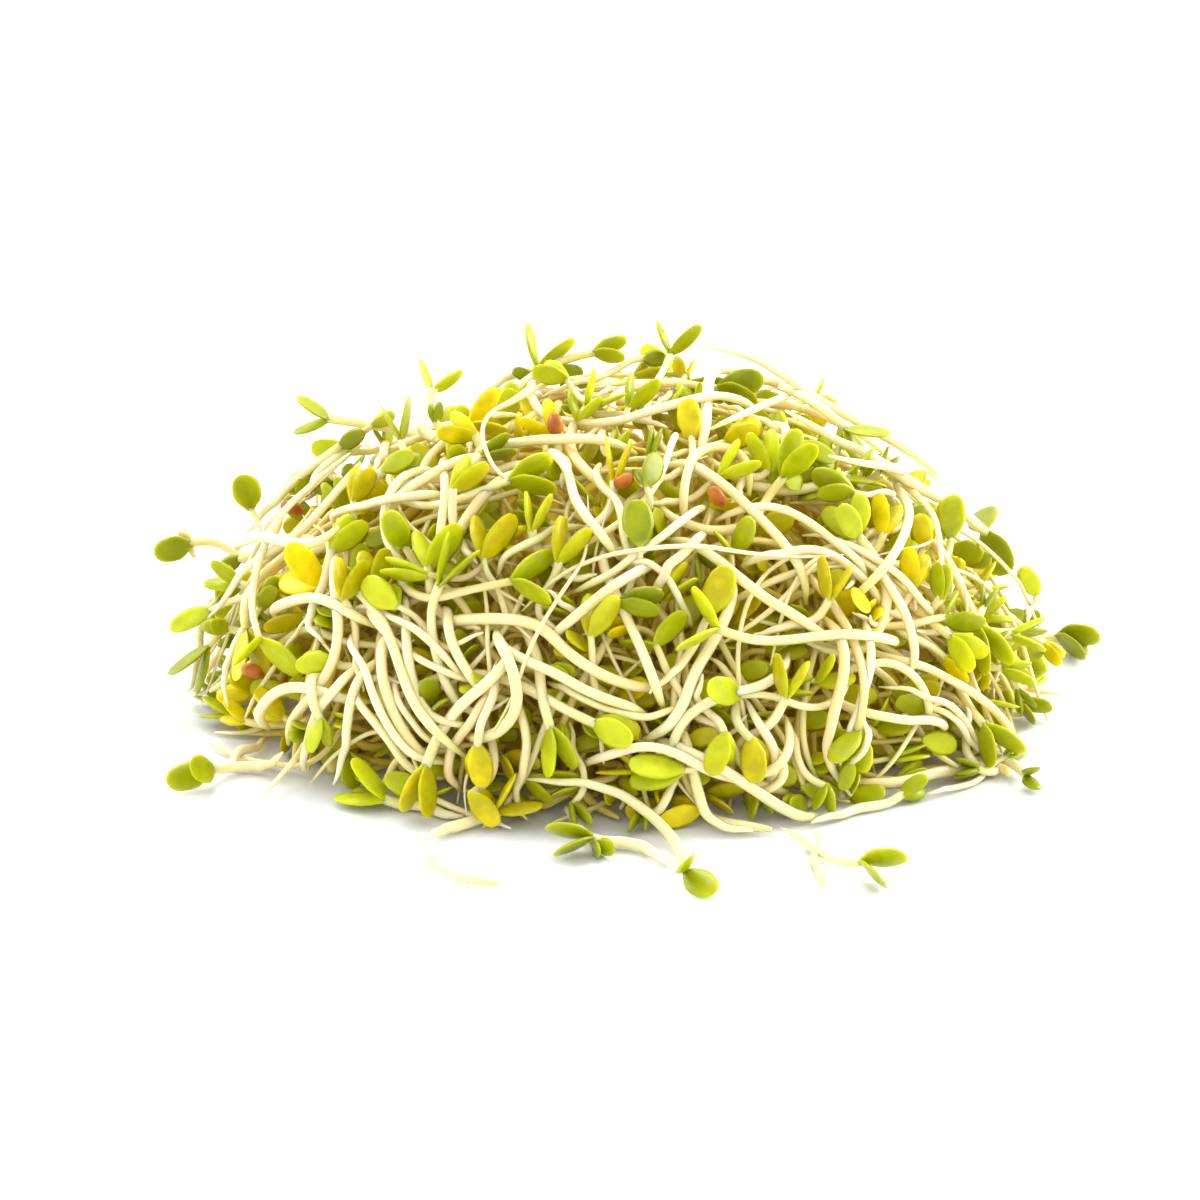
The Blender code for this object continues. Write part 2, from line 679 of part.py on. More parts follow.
    def near_pairs(self):
        """Pairs of pieces of different strands that are close enough to meet soon."""
        a0, a1 = self.ends_of(np.arange(len(self.piece_ends)))
        middle = 0.5 * (a0 + a1)
        step = a1 - a0
        reach = 0.5 * np.sqrt(dot(step, step)) + self.piece_radius
        found_a, found_b = [], []
        for first in range(0, len(middle), 256):
            block = slice(first, first + 256)
            away = middle[block, None, :] - middle[None, :, :]
            far = away[..., 0] ** 2 + away[..., 1] ** 2 + away[..., 2] ** 2
            room = reach[block, None] + reach[None, :] + TUFT_GAP + 1.2
            a, b = np.nonzero(far < room * room)
            a = a + first
            keep = (a < b) & (self.piece_strand[a] != self.piece_strand[b])
            found_a.append(a[keep])
            found_b.append(b[keep])
        a, b = np.concatenate(found_a), np.concatenate(found_b)
        reach_sum = self.piece_radius[a] + self.piece_radius[b]
        same = self.piece_tuft[a] == self.piece_tuft[b]
        apart = reach_sum + np.where(same, OWN_GAP, TUFT_GAP)
        clinging = np.zeros(len(a), bool)
        first, second = self.piece_strand[a], self.piece_strand[b]
        for one, other in self.clings:
            clinging |= (first == one) & (second == other)
            clinging |= (first == other) & (second == one)
        apart = np.where(clinging, CLING_EASE * CLING_SHARE * reach_sum, apart)
        return a, b, apart

    def push(self, a, b, s, t, gap, distance, change):
        """Moves the points of paired pieces so that each gap grows by its change."""
        flat = (distance < 1e-4)[:, None]
        away = gap / np.maximum(distance, 1e-4)[:, None]
        away = np.where(flat, np.array([[0.0, 0.0, 1.0]]), away)
        shares = []
        for pieces, place in ((a, s), (b, t)):
            start, stop = self.piece_from[pieces, 0], self.piece_to[pieces, 0]
            second = start + place * (stop - start)
            shares += [1.0 - second, second]
        total = sum(share * share for share in shares)
        ends = [self.piece_ends[pieces, end] for pieces in (a, b) for end in (0, 1)]
        for end, share, sign in zip(ends, shares, (1.0, 1.0, -1.0, -1.0)):
            size = sign * change * share / total
            for axis in range(3):
                self.shift[:, axis] += np.bincount(end, size * away[:, axis], len(self.points))
            self.count[:, 0] += np.bincount(end, np.minimum(share * 2.0, 1.0), len(self.points))

    def apply_shift(self, strength):
        self.points += strength * self.shift / np.maximum(self.count, 1.0)

    def start_shift(self):
        self.shift = np.zeros_like(self.points)
        self.count = np.zeros((len(self.points), 1))

    def keep_lengths(self):
        first, second = self.link_ends[:, 0], self.link_ends[:, 1]
        step = self.points[second] - self.points[first]
        length = np.sqrt(dot(step, step))
        size = self.link_pull * 0.5 * (length - self.link_rest) / np.maximum(length, 1e-4)
        self.start_shift()
        for axis in range(3):
            pull = size * step[:, axis]
            self.shift[:, axis] += np.bincount(first, pull, len(self.points))
            self.shift[:, axis] -= np.bincount(second, pull, len(self.points))
        self.count[:, 0] = np.bincount(first, minlength=len(self.points))
        self.count[:, 0] += np.bincount(second, minlength=len(self.points))
        self.apply_shift(LENGTH_STRENGTH)

    def keep_apart(self, a, b, apart):
        s, t, gap, distance = self.pair_gaps(a, b)
        close = distance < apart
        self.start_shift()
        short = (apart - distance)[close]
        self.push(a[close], b[close], s[close], t[close], gap[close], distance[close], short)
        self.apply_shift(APART_STRENGTH)

    def keep_clinging(self):
        self.start_shift()
        for one, other in self.clings:
            a, b = self.stem_pairs(one, other)
            s, t, gap, distance = self.pair_gaps(a, b)
            best = np.array([int(distance.argmin())])
            reach = CLING_SHARE * (self.piece_radius[a[best]] + self.piece_radius[b[best]])
            short = np.maximum(np.minimum(reach - distance[best], 0.0), -CLING_PULL)
            self.push(a[best], b[best], s[best], t[best], gap[best], distance[best], short)
        self.apply_shift(1.0)

    def keep_off_table_and_core(self):
        self.points[:, 2] = np.maximum(self.points[:, 2], self.floor)
        neck, one, two = (self.points[row] for row in self.leaf_rows)
        across = np.cross(one - neck, two - neck)
        size = np.maximum(np.sqrt(dot(across, across)), 1e-6)
        tilt = np.abs(across[:, 2]) / size
        need = self.leaf_half_width * tilt + 0.5 * LEAF_THICKNESS * (1.0 - tilt) + 0.1
        for row in self.leaf_rows[1:]:
            lack = np.maximum(need - 0.5 * (neck[:, 2] + self.points[row, 2]), 0.0)
            self.points[row, 2] += lack
            self.points[self.leaf_rows[0], 2] += 0.5 * lack
        sizes = (HEAP_HALF_WIDTH, HEAP_HALF_DEPTH, HEAP_HEIGHT)
        depth = np.zeros(len(self.points))
        for axis, size in enumerate(sizes):
            share = self.points[:, axis] / (size * CORE_SHARE + self.thick + TUFT_GAP + 0.3)
            depth += share * share
        inside = (depth < 1.0) & self.off_core
        scale = np.where(inside, 1.0 / np.sqrt(np.maximum(depth, 0.01)), 1.0)
        self.points *= scale[:, None]

    def settle(self):
        self.floor = np.zeros(len(self.points))
        self.thick = np.zeros(len(self.points))
        self.off_core = np.ones(len(self.points), bool)
        leafy = [each for each in self.strands if each["leaf"]]
        for each in self.strands:
            rows = np.arange(len(each["points"])) + each["first"]
            self.thick[rows] = each["radii"]
            self.floor[rows] = self.thick[rows] + 0.02
            if each["leaf"]:
                self.thick[each["tips"]] = 0.5 * LEAF_THICKNESS
                self.floor[each["tips"]] = 0.5 * LEAF_THICKNESS + 0.05
            if each["tuft"] == CORE:
                self.off_core[rows] = False
        necks = [each["first"] + len(each["points"]) - 1 for each in leafy]
        ones, twos = ([each["tips"][side] for each in leafy] for side in (0, 1))
        self.leaf_rows = (np.array(necks), np.array(ones), np.array(twos))
        self.leaf_half_width = np.array([0.5 * LEAF_WIDTH_SHARE * each["leaf"] for each in leafy])
        for turn in range(SETTLE_ROUNDS):
            if turn in CLING_ROUNDS:
                self.clings = self.find_clings()
            if turn % NEIGHBOUR_ROUNDS == 0:
                pairs = self.near_pairs()
            slackening = HOME_PULL * max(0.0, 1.0 - HOME_FADE * turn / SETTLE_ROUNDS)
            pull = np.where(self.held == 1.0, 1.0, self.held * slackening)
            self.points += pull * (self.home - self.points)
            self.keep_lengths()
            self.keep_clinging()
            self.keep_apart(*pairs)
            self.keep_off_table_and_core()
        for each in self.strands:
            first = each["first"]
            line = self.points[first:first + len(each["points"])]
            each["points"] = [Vector(point) for point in line]
            if each["leaf"]:
                each["tips"] = [Vector(self.points[tip]) for tip in each["tips"]]


# Solids.


def stem_solid(name, each, look):
    """A four-sided tube along the strand, thin at the root's tip."""
    curve = bpy.data.curves.new(name, "CURVE")
    curve.dimensions = "3D"
    curve.bevel_depth = MM
    curve.bevel_resolution = 0
    curve.use_fill_caps = True
    spline = curve.splines.new("POLY")
    spline.points.add(len(each["points"]) - 1)
    for spot, point, radius in zip(spline.points, each["points"], each["radii"]):
        spot.co = (*(point * MM), 1.0)
        spot.radius = radius
    helper = bpy.data.objects.new(name, curve)
    graph = bpy.context.evaluated_depsgraph_get()
    bpy.context.scene.collection.objects.link(helper)
    bpy.context.view_layer.update()
    mesh = bpy.data.meshes.new_from_object(helper.evaluated_get(graph))
    bpy.data.objects.remove(helper)
    made = bmesh.new()
    made.from_mesh(mesh)
    bmesh.ops.remove_doubles(made, verts=made.verts, dist=0.01 * MM)
    bmesh.ops.recalc_face_normals(made, faces=made.faces)
    made.to_mesh(mesh)
    made.free()
    mesh.materials.clear()
    mesh.materials.append(look)
    return bpy.data.objects.new(name, mesh)


def oval_solid(name, middle, axes, halves, look, around, bands):
    """An oval with half sizes along three axes, the last of them its length."""
    made = bmesh.new()
    bmesh.ops.create_uvsphere(made, u_segments=around, v_segments=bands, radius=1.0)
    turn = Matrix(axes).transposed().to_4x4()
    size = Matrix.Diagonal((*(half * MM for half in halves), 1.0))
    made.transform(Matrix.Translation(middle * MM) @ turn @ size)
    mesh = bpy.data.meshes.new(name)
    made.to_mesh(mesh)
    made.free()
    mesh.materials.append(look)
    return bpy.data.objects.new(name, mesh)


def leaf_solids(name, each, look, bands):
    """The two seed leaves, face to face like an opened book."""
    neck = each["points"][-1]
    made = []
    first, second = (tip - neck for tip in each["tips"])
    for number, (own, other) in enumerate(((first, second), (second, first))):
        along = own.normalized()
        facing = (along * other.dot(along) - other).normalized()
        across = facing.cross(along).normalized()
        half = 0.5 * (own.length + LEAF_SINK)
        halves = (0.5 * LEAF_THICKNESS, 0.5 * each["leaf"] * LEAF_WIDTH_SHARE, half)
        middle = neck + along * (half - LEAF_SINK) + facing * LEAF_PARTING
        axes = (facing, -across, along)
        made.append(oval_solid(f"{name}_{number}", middle, axes, halves, look, LEAF_SIDES, bands))
    return made


def core_solid(look):
    """The matted core: a lumpy heap whose flat side lies on the table."""
    rng = random.Random(LAYOUT_SEED + 1)
    made = bmesh.new()
    bmesh.ops.create_uvsphere(made, u_segments=CORE_SIDES, v_segments=CORE_BANDS, radius=1.0)
    below = [spot for spot in made.verts if spot.co.z < -0.01]
    bmesh.ops.delete(made, geom=below, context="VERTS")
    for spot in made.verts:
        x = spot.co.x * HEAP_HALF_WIDTH * CORE_SHARE
        y = spot.co.y * HEAP_HALF_DEPTH * CORE_SHARE
        inward = 1.0 - rng.uniform(0.0, CORE_LUMPS) / (HEAP_HEIGHT * CORE_SHARE)
        height = heap_height(x, y, CORE_SHARE) if spot.co.z > 0.01 else 0.0
        spot.co = Vector((x, y, height)) * inward * MM
    rim = [edge for edge in made.edges if edge.is_boundary]
    bmesh.ops.contextual_create(made, geom=rim)
    bmesh.ops.recalc_face_normals(made, faces=made.faces)
    mesh = bpy.data.meshes.new(CORE)
    made.to_mesh(mesh)
    made.free()
    mesh.materials.append(look)
    return bpy.data.objects.new(CORE, mesh)


def united(solids, solver):
    """The mesh of the first solid with all the others joined on by a Boolean union."""
    others = bpy.data.collections.new("others")
    bpy.context.scene.collection.children.link(others)
    bpy.context.scene.collection.objects.link(solids[0])
    for solid in solids[1:]:
        others.objects.link(solid)
    union = solids[0].modifiers.new("join", "BOOLEAN")
    union.operation = "UNION"
    union.operand_type = "COLLECTION"
    union.collection = others
    union.solver = solver
    union.material_mode = "TRANSFER"
    bpy.context.view_layer.update()
    graph = bpy.context.evaluated_depsgraph_get()
    joined = bpy.data.meshes.new_from_object(solids[0].evaluated_get(graph))
    solids[0].modifiers.clear()
    bpy.context.scene.collection.objects.unlink(solids[0])
    bpy.data.collections.remove(others)
    return joined


def skins_of(made):
    """The closed skins of a mesh as volumes and faces, the largest first."""
    unseen = set(made.faces)
    skins = []
    while unseen:
        skin, waiting = [], [unseen.pop()]
        while waiting:
            face = waiting.pop()
            skin.append(face)
            touching = {other for edge in face.edges for other in edge.link_faces} & unseen
            unseen -= touching
            waiting += touching
        corners = ([spot.co / MM for spot in face.verts] for face in skin)
        volume = sum(a.dot(b.cross(c)) for a, b, c in corners) / 6.0
        skins.append((volume, skin))
    return sorted(skins, key=lambda skin: skin[0], reverse=True)


def flat_folds(made):
    """Triangles that lie back to back on the same three corners."""
    by_corners = {}
    for face in made.faces:
        corners = frozenset(spot.index for spot in face.verts)
        by_corners.setdefault(corners, []).append(face)
    return [face for faces in by_corners.values() if len(faces) == 2 for face in faces]


def one_skin(mesh):
    """Turns a mesh to triangles, without its sealed hollows, and says if it is sound."""
    made = bmesh.new()
    made.from_mesh(mesh)
    bmesh.ops.triangulate(made, faces=made.faces)
    bmesh.ops.delete(made, geom=flat_folds(made), context="FACES")
    skins = skins_of(made)
    spare = [face for _, skin in skins[1:] for face in skin]
    bmesh.ops.delete(made, geom=spare, context="FACES")
    made.to_mesh(mesh)
    bmesh.ops.remove_doubles(made, verts=made.verts, dist=SMALLEST_EDGE * MM)
    sound = all(len(edge.link_faces) == 2 for edge in made.edges)
    made.free()
    return sound and all(volume < LOOSE_SCRAP for volume, _ in skins[1:])


def fuse(name, solids):
    """One object, placed by its own middle, from solids that sink into each other."""
    mesh = solids[0].data
    if len(solids) > 1:
        mesh = united(solids, "EXACT")
        if not one_skin(mesh):
            mesh = united(solids, "MANIFOLD")
            if not one_skin(mesh):
                raise RuntimeError(f"the sprouts of {name} don't hold together")
    middle = Vector()
    if name != CORE:
        middle = sum((spot.co for spot in mesh.vertices), Vector()) / len(mesh.vertices)
    mesh.transform(Matrix.Translation(-middle))
    mesh.name = name
    mesh.shade_smooth()
    mesh.set_sharp_from_angle(angle=SHARP_ANGLE)
    for solid in solids:
        bpy.data.objects.remove(solid)
    body = bpy.data.objects.new(name, mesh)
    body.location = middle
    bpy.context.scene.collection.objects.link(body)
    return body


def main():
    clear_scene()
    stem_look = material("stem", STEM_LOOK)
    leaf_look = material("seed_leaf", LEAF_LOOK)
    core_look = material("matted_core", CORE_LOOK)
    seed_look = material("seed_coat", SEED_LOOK)
    strands = all_strands()
    Settling(strands).settle()
    tufts = {CORE: [core_solid(core_look)]}
    for number, each in enumerate(strands):
        parts = tufts.setdefault(each["tuft"], [])
        name = f"{each['tuft']}_{number}"
        if each["tuft"].startswith("seed_coat"):
            first, last = each["points"]
            along = (last - first).normalized()
            facing = along.orthogonal().normalized()
            halves = (0.5 * SEED_THICKNESS, 0.5 * SEED_WIDTH, 0.5 * SEED_LENGTH)
            axes = (facing, along.cross(facing), along)
            middle = (first + last) / 2
            parts.append(oval_solid(name, middle, axes, halves, seed_look, SEED_SIDES, SEED_BANDS))
            continue
        parts.append(stem_solid(name, each, stem_look))
        if each["leaf"]:
            deep = each["tuft"] == CORE or each["tuft"].startswith("tuft")
            bands = DEEP_LEAF_BANDS if deep else LEAF_BANDS
            parts += leaf_solids(name, each, leaf_look, bands)
    pile = bpy.data.objects.new("sprout_pile", None)
    bpy.context.scene.collection.objects.link(pile)
    for name, solids in tufts.items():
        fuse(name, solids).parent = pile


main()
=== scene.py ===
"""The looks of a pile of alfalfa sprouts, laid out as a Blender add-on.

The sprouts' layout is worked out again here by the same rules as in the solid
model, in millimetres, and every solid is replaced by finer sprouts that follow
the same lines. More sprouts are then fitted in between them.
"""

import functools
import math
import random

import bpy
import numpy as np
from mathutils import Matrix, Vector


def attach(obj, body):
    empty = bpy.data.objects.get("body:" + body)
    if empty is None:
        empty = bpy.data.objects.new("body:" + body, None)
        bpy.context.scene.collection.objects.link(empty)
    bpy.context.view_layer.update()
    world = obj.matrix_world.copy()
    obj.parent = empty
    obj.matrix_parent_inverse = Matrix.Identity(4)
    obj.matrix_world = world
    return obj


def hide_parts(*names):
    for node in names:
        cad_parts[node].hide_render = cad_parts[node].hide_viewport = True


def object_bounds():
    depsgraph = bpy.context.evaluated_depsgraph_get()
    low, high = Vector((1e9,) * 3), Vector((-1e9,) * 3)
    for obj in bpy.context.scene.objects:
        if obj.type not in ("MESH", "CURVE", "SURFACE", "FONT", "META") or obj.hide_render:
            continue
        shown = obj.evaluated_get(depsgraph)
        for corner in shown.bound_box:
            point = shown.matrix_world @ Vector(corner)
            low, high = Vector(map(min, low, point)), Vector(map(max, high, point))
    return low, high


bl_info = {
    "name": "Alfalfa sprout pile",
    "version": (1, 0, 0),
    "blender": (4, 5, 0),
    "location": "View3D > Sidebar > Sprouts",
    "description": "Dresses the solid model of a pile of alfalfa sprouts",
    "category": "Add Mesh",
}

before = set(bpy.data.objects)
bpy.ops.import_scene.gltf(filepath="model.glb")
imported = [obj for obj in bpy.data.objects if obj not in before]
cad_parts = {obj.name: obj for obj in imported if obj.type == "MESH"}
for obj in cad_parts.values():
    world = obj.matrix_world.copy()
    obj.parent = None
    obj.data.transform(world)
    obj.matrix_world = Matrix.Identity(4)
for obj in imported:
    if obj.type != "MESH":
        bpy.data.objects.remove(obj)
CAD_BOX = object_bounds()

MM = 0.001

# The heap: its half width, its half depth and its height, and how full its
# sides are. The matted core is the same form, smaller, and its body a bit less.
HEAP_SIZES = (42.5, 34.0, 31.0)
HEAP_FULLNESS = 0.66
CORE_SHARE = 0.7
BODY_SHARE = 0.96

# One sprout. A thickness is given as a radius, the stem narrows to its neck over
# the last span of its length, and a seed's sizes are its thickness, width and
# length.
STEM_RADIUS = 0.62
ROOT_TIP_RADIUS = 0.32
NECK_RADIUS = 0.55
NECK_FROM = 0.7
NECK_SPAN = 0.3
SPROUT_LENGTHS = (24.0, 34.0)
POINTS_PER_SPROUT = 8
ROOT_SHARE = 0.4
LEAF_LENGTHS = (4.2, 5.2)
LEAF_WIDTH_SHARE = 0.58
LEAF_THICKNESS = 0.9
LEAF_SPREADS = (18.0, 55.0)
LEAF_PARTING = 0.25
LEAF_SINK = 0.35
SEED_SIZES = (1.4, 1.7, 2.4)

# How close the sprouts lie. Tufts stay clear of each other by the gap, and
# sprouts of one tuft sink into each other where they cling together. The
# clearances are what stems and leaves keep from the table and from the core.
TUFT_GAP = 0.38
OWN_GAP = 0.1
CLING_SHARE = 0.4
CLING_PULL = 1.2
CLING_EASE = 0.9
STEM_CLEARANCE = 0.02
LEAF_CLEARANCE = 0.05
TILTED_CLEARANCE = 0.1
CORE_CLEARANCE = 0.3

# How the sprouts settle: how stiffly a stem's points keep their distance from
# the next, the second and the third, and leaves their spread, the middle share
# of a leaf that touches others, how far pieces look for others that they may
# meet, how strongly each rule acts in a round, and how the pull back to the
# layout fades.
SETTLE_ROUNDS = 320
NEIGHBOUR_ROUNDS = 6
CLING_ROUNDS = range(0, 240, 24)
STEM_LINKS = ((1, 1.0), (2, 0.9), (3, 0.5))
LEAF_STIFFNESS = 0.6
LEAF_TOUCH = (0.3, 0.7)
SOON = 1.2
BLOCK = 256
LENGTH_STRENGTH = 1.6
APART_STRENGTH = 1.1
HOME_PULL = 0.3
HOME_FADE = 1.2

# How a limp stem wanders over the heap: how much of its last turn it keeps and
# how far it may turn anew, how far ahead it feels the slope, the steepest slope
# it follows, how far it bends one way, in degrees a millimetre, and at which
# share of its length it passes over its point of the heap.
WOBBLE_KEPT = 0.8
WOBBLE = 0.07
LOOK_AHEAD = 0.3
STEEPEST = 2.5
SPROUT_TURN = 5.0
CROSSED_AT = (0.35, 0.65)

# How the heap is looked at: the height of the eye above the table in degrees,
# the scale, where the middle of the heap's foot shows in the picture, and how
# a line of sight is followed, from the front towards the back.
EYE_ELEVATION = math.radians(22.0)
PIXELS_PER_MM = 10.3
FOOT_PIXEL = (620.0, 690.0)
SEEN_FROM = -1.6
SEEN_STEP = 0.25
RIDGE_DEPTH = 10.0
TABLE_DEPTH = 20.0

# The layout: how the core's bare stems weave in and out of it, how far the
# ends of strands are tucked in, how the stems of heads run back under the
# others, how far their leaves spread, how firmly each kind is held in its place,
# and how the sprouts of a tuft are turned and stacked in layers. The golden
# angle and share spread things evenly.
LAYOUT_SEED = 7
CORE = "matted_core"
MAT_SPROUTS = 38
MAT_WEAVE = 2.2
MAT_SINK = 0.7
MAT_ROUND = (0.06, 0.94)
MAT_FORWARD = 0.5
MAT_HOLD = 0.1
MAT_HEADINGS = (20.0, 160.0)
ROOTED_SWING = -0.3
ROOTED_SHARE = 0.85
HEART = Vector((0.0, 0.0, 4.0))
TUCK_ON = 2.0
TUCK_IN = 2.6
HEAD_NECK = 1.8
HEAD_SHORTER = 6.0
HEAD_RUN_IN = 10.0
HEAD_SLIP_UNDER = 0.13
HEAD_FORWARD = -0.2
HEAD_TURN = 2.0
HEAD_SPREADS = (20.0, 42.0)
STRAY_SPREADS = (18.0, 32.0)
STRAND_HOLD = 0.25
HEAD_HOLD = 0.3
TUFTS = 10
SPROUTS_PER_TUFT = 4
TUFT_RISE = 0.9
TUFT_TWIST = 0.3
TUFT_SIDES = (math.radians(-25.0), math.radians(205.0))
LAYERS = (0.8, 0.9, 0.99)
GOLDEN_ANGLE = math.radians(137.5)
GOLDEN_SHARE = 0.618
ON_HEAP = 1.02

# Strands that stand out on the front of the heap, root end first: tuft, what
# its two ends do, and pixels of the picture that it passes through.
TUCKED = ("tucked", "tucked")
SEEN_STRANDS = (
    ("front_arch", TUCKED, ((443, 616), (514, 619), (545, 621), (571, 665), (606, 677), (655, 685))),
    ("front_arch", TUCKED, ((445, 614), (453, 639), (472, 665), (492, 690))),
    ("front_arch", TUCKED, ((640, 566), (625, 577), (590, 606), (560, 629))),
    ("front_fork", TUCKED, ((497, 640), (510, 654), (521, 686), (520, 711), (502, 732), (475, 738))),
    ("front_fork", TUCKED, ((508, 652), (533, 663), (562, 675), (600, 698), (632, 712))),
    ("front_fork", ("tucked", "leafy"), ((512, 660), (487, 686), (462, 704), (439, 727), (434, 760))),
    ("left_drape_upper", TUCKED, ((352, 587), (385, 615), (402, 645), (412, 685), (430, 715), (452, 737))),
    ("left_drape_lower", TUCKED, ((387, 640), (389, 673), (398, 702), (412, 727), (429, 752))),
    ("left_white", TUCKED, ((345, 562), (347, 606), (350, 652), (324, 688), (303, 711), (286, 732))),
    ("left_white", TUCKED, ((262, 715), (274, 698), (289, 686), (316, 683), (345, 690))),
    ("left_white", TUCKED, ((274, 610), (303, 600), (337, 597), (360, 604))),
    ("left_hanging", ("open", "tucked"), ((343, 778), (356, 750), (358, 721), (361, 692), (370, 670))),
    ("left_hanging", TUCKED, ((423, 762), (408, 746), (389, 721), (358, 695))),
    ("right_bar", ("tucked", "leafy"),
     ((890, 648), (850, 642), (810, 639), (772, 642), (738, 641), (708, 631))),
    ("right_bar", TUCKED, ((690, 535), (699, 549), (722, 574), (749, 595), (776, 610), (826, 630))),
    ("right_bar", ("open", "tucked"),
     ((843, 788), (824, 769), (814, 744), (818, 709), (828, 679), (836, 636))),
    ("right_bar", ("open", "tucked"), ((826, 760), (839, 732), (843, 705), (857, 679), (864, 638))),
    ("front_right_low", TUCKED, ((768, 652), (745, 660), (715, 683), (696, 704), (682, 723), (677, 750))),
    ("front_right_low", TUCKED, ((672, 744), (690, 748), (724, 766), (765, 794), (802, 817))),
    ("front_right_low", ("open", "tucked"), ((744, 825), (714, 822), (693, 789), (684, 742))),
    ("top_right_band", TUCKED, ((680, 462), (694, 472), (719, 487), (745, 514), (772, 541), (805, 580))),
    ("top_right_band", TUCKED, ((742, 510), (772, 508), (801, 520), (830, 541), (860, 569))),
    ("top_right_band", TUCKED, ((684, 505), (683, 472), (696, 456), (715, 449), (734, 453), (747, 468))),
    ("top_hook", TUCKED, ((703, 436), (703, 407), (707, 384), (732, 369), (756, 372))),
    ("top_sweep", TUCKED, ((675, 436), (669, 468), (654, 495), (631, 518), (596, 538))),
    ("centre_slant", TUCKED, ((548, 452), (566, 476), (573, 507), (583, 526), (600, 545))),
    ("centre_cross", TUCKED, ((694, 512), (657, 545), (629, 560), (606, 575), (588, 582))),
    ("centre_cross", TUCKED, ((606, 556), (618, 596), (636, 640), (648, 690))),
    ("front_right_low", TUCKED, ((648, 716), (672, 680), (700, 640), (728, 596))),
    ("left_top_cross", TUCKED, ((475, 458), (460, 466), (428, 484), (392, 507))),
    ("left_top_cross", TUCKED, ((443, 460), (447, 478), (451, 501), (443, 545))),
    ("left_top_cross", TUCKED, ((520, 474), (495, 487), (481, 507), (458, 540))),
    ("right_fall", TUCKED, ((890, 648), (925, 659), (948, 679), (967, 698), (983, 719), (1003, 736))),
    ("right_fall", TUCKED, ((862, 658), (890, 658), (910, 679), (924, 700))),
    ("right_fall", TUCKED, ((849, 696), (866, 711), (899, 723), (936, 729))),
    ("right_foot", TUCKED, ((885, 778), (933, 765), (985, 761), (1010, 772))),
)

# Sprouts whose seed leaves stand out on the heap: tuft, pixel at the base of
# the pair, the way it points in the picture in degrees, the leaf's length, and
# the pair's turn about its stem, from 0 for an open V to 90 for a face, and its
# tone, from 0 for dark green through olive to 1 for yellow.
SEEN_HEADS = (
    ("heads_top_left", (431, 388), 75, 3.8, 10, 0.6), ("heads_top_left", (404, 442), 95, 4.4, 0, 0.3),
    ("heads_top_left", (470, 430), 20, 4.4, 60, 0.85), ("heads_top", (540, 368), 78, 4.6, 30, 0.35),
    ("heads_top", (594, 352), 0, 3.4, 70, 0.3), ("heads_top", (590, 412), 60, 4.2, 20, 0.4),
    ("heads_top_right", (718, 386), -10, 5.0, 85, 0.1), ("heads_top_right", (670, 352), 80, 4.0, 40, 0.2),
    ("heads_right_top", (812, 412), 60, 4.0, 10, 0.4), ("heads_right_top", (775, 492), 75, 4.8, 60, 0.35),
    ("heads_right_top", (846, 474), 30, 3.8, 20, 0.3), ("heads_left", (370, 556), 95, 4.6, 90, 0.55),
    ("heads_left", (302, 596), 98, 5.4, 65, 1.0), ("heads_left", (410, 548), 110, 4.2, 80, 0.3),
    ("heads_far_left", (243, 505), 92, 4.4, 90, 0.25), ("heads_far_left", (184, 543), 190, 4.0, 70, 0.0),
    ("heads_far_left", (240, 584), 140, 3.6, 20, 0.4), ("heads_left_high", (326, 418), 160, 4.0, 10, 0.3),
    ("heads_left_high", (345, 452), 150, 4.0, 50, 0.5), ("heads_left_edge", (208, 648), 235, 4.6, 10, 0.1),
    ("heads_left_edge", (252, 632), -80, 5.0, 45, 0.75), ("left_top_cross", (520, 486), 5, 4.8, 75, 0.3),
    ("heads_middle_left", (520, 584), 0, 4.8, 60, 0.35),
    ("heads_middle_left", (452, 596), 70, 5.0, 15, 0.3), ("heads_front_low", (598, 714), -15, 4.4, 85, 0.6),
    ("heads_front_low", (552, 728), -75, 4.6, 30, 0.4), ("front_right_low", (745, 700), 165, 4.8, 60, 0.4),
    ("heads_right", (968, 628), -65, 4.8, 40, 0.35), ("heads_right", (938, 640), -35, 4.2, 60, 0.6),
    ("heads_right", (1006, 634), 30, 3.8, 30, 0.5), ("heads_right_low", (966, 728), -60, 4.6, 50, 0.3),
    ("heads_right_low", (988, 700), -60, 4.2, 20, 0.4), ("right_bar", (842, 728), 250, 4.6, 45, 0.35),
    ("heads_right_high", (945, 536), 95, 4.2, 85, 0.3), ("heads_right_high", (846, 538), 140, 4.4, 60, 0.4),
)

# Single sprouts that have slid off the heap, root end first: sprout, the layer
# of the heap that it leaves, next to none for one on the table, its leaves' tone
# and pixels.
SEEN_STRAYS = (
    ("stray_left_front", 1.0, 0.35, ((296, 752), (268, 764), (242, 768), (222, 778))),
    ("stray_left_pair", 1.0, 0.55, ((470, 812), (440, 808), (412, 800), (392, 792))),
    ("stray_front_pair", 1.0, 0.8, ((436, 832), (455, 824), (480, 812), (500, 800))),
    ("stray_front_arch", 1.0, 0.3,
     ((530, 766), (566, 762), (604, 768), (635, 791), (663, 825), (684, 866))),
    ("stray_front_small", 1.0, 0.2, ((664, 852), (640, 838), (612, 834), (590, 838))),
    ("stray_right_front", 1.0, 0.3, ((770, 822), (800, 840), (822, 852), (844, 860))),
    ("stray_far_right", 0.01, 0.1, ((962, 652), (1000, 640), (1034, 640), (1068, 652))),
)

SEEN_SEEDS = (
    ("seed_coat_front", (711, 502)), ("seed_coat_left", (294, 509)), ("seed_coat_top", (556, 430)),
    ("seed_coat_middle", (622, 486)), ("seed_coat_low_left", (262, 668)),
)

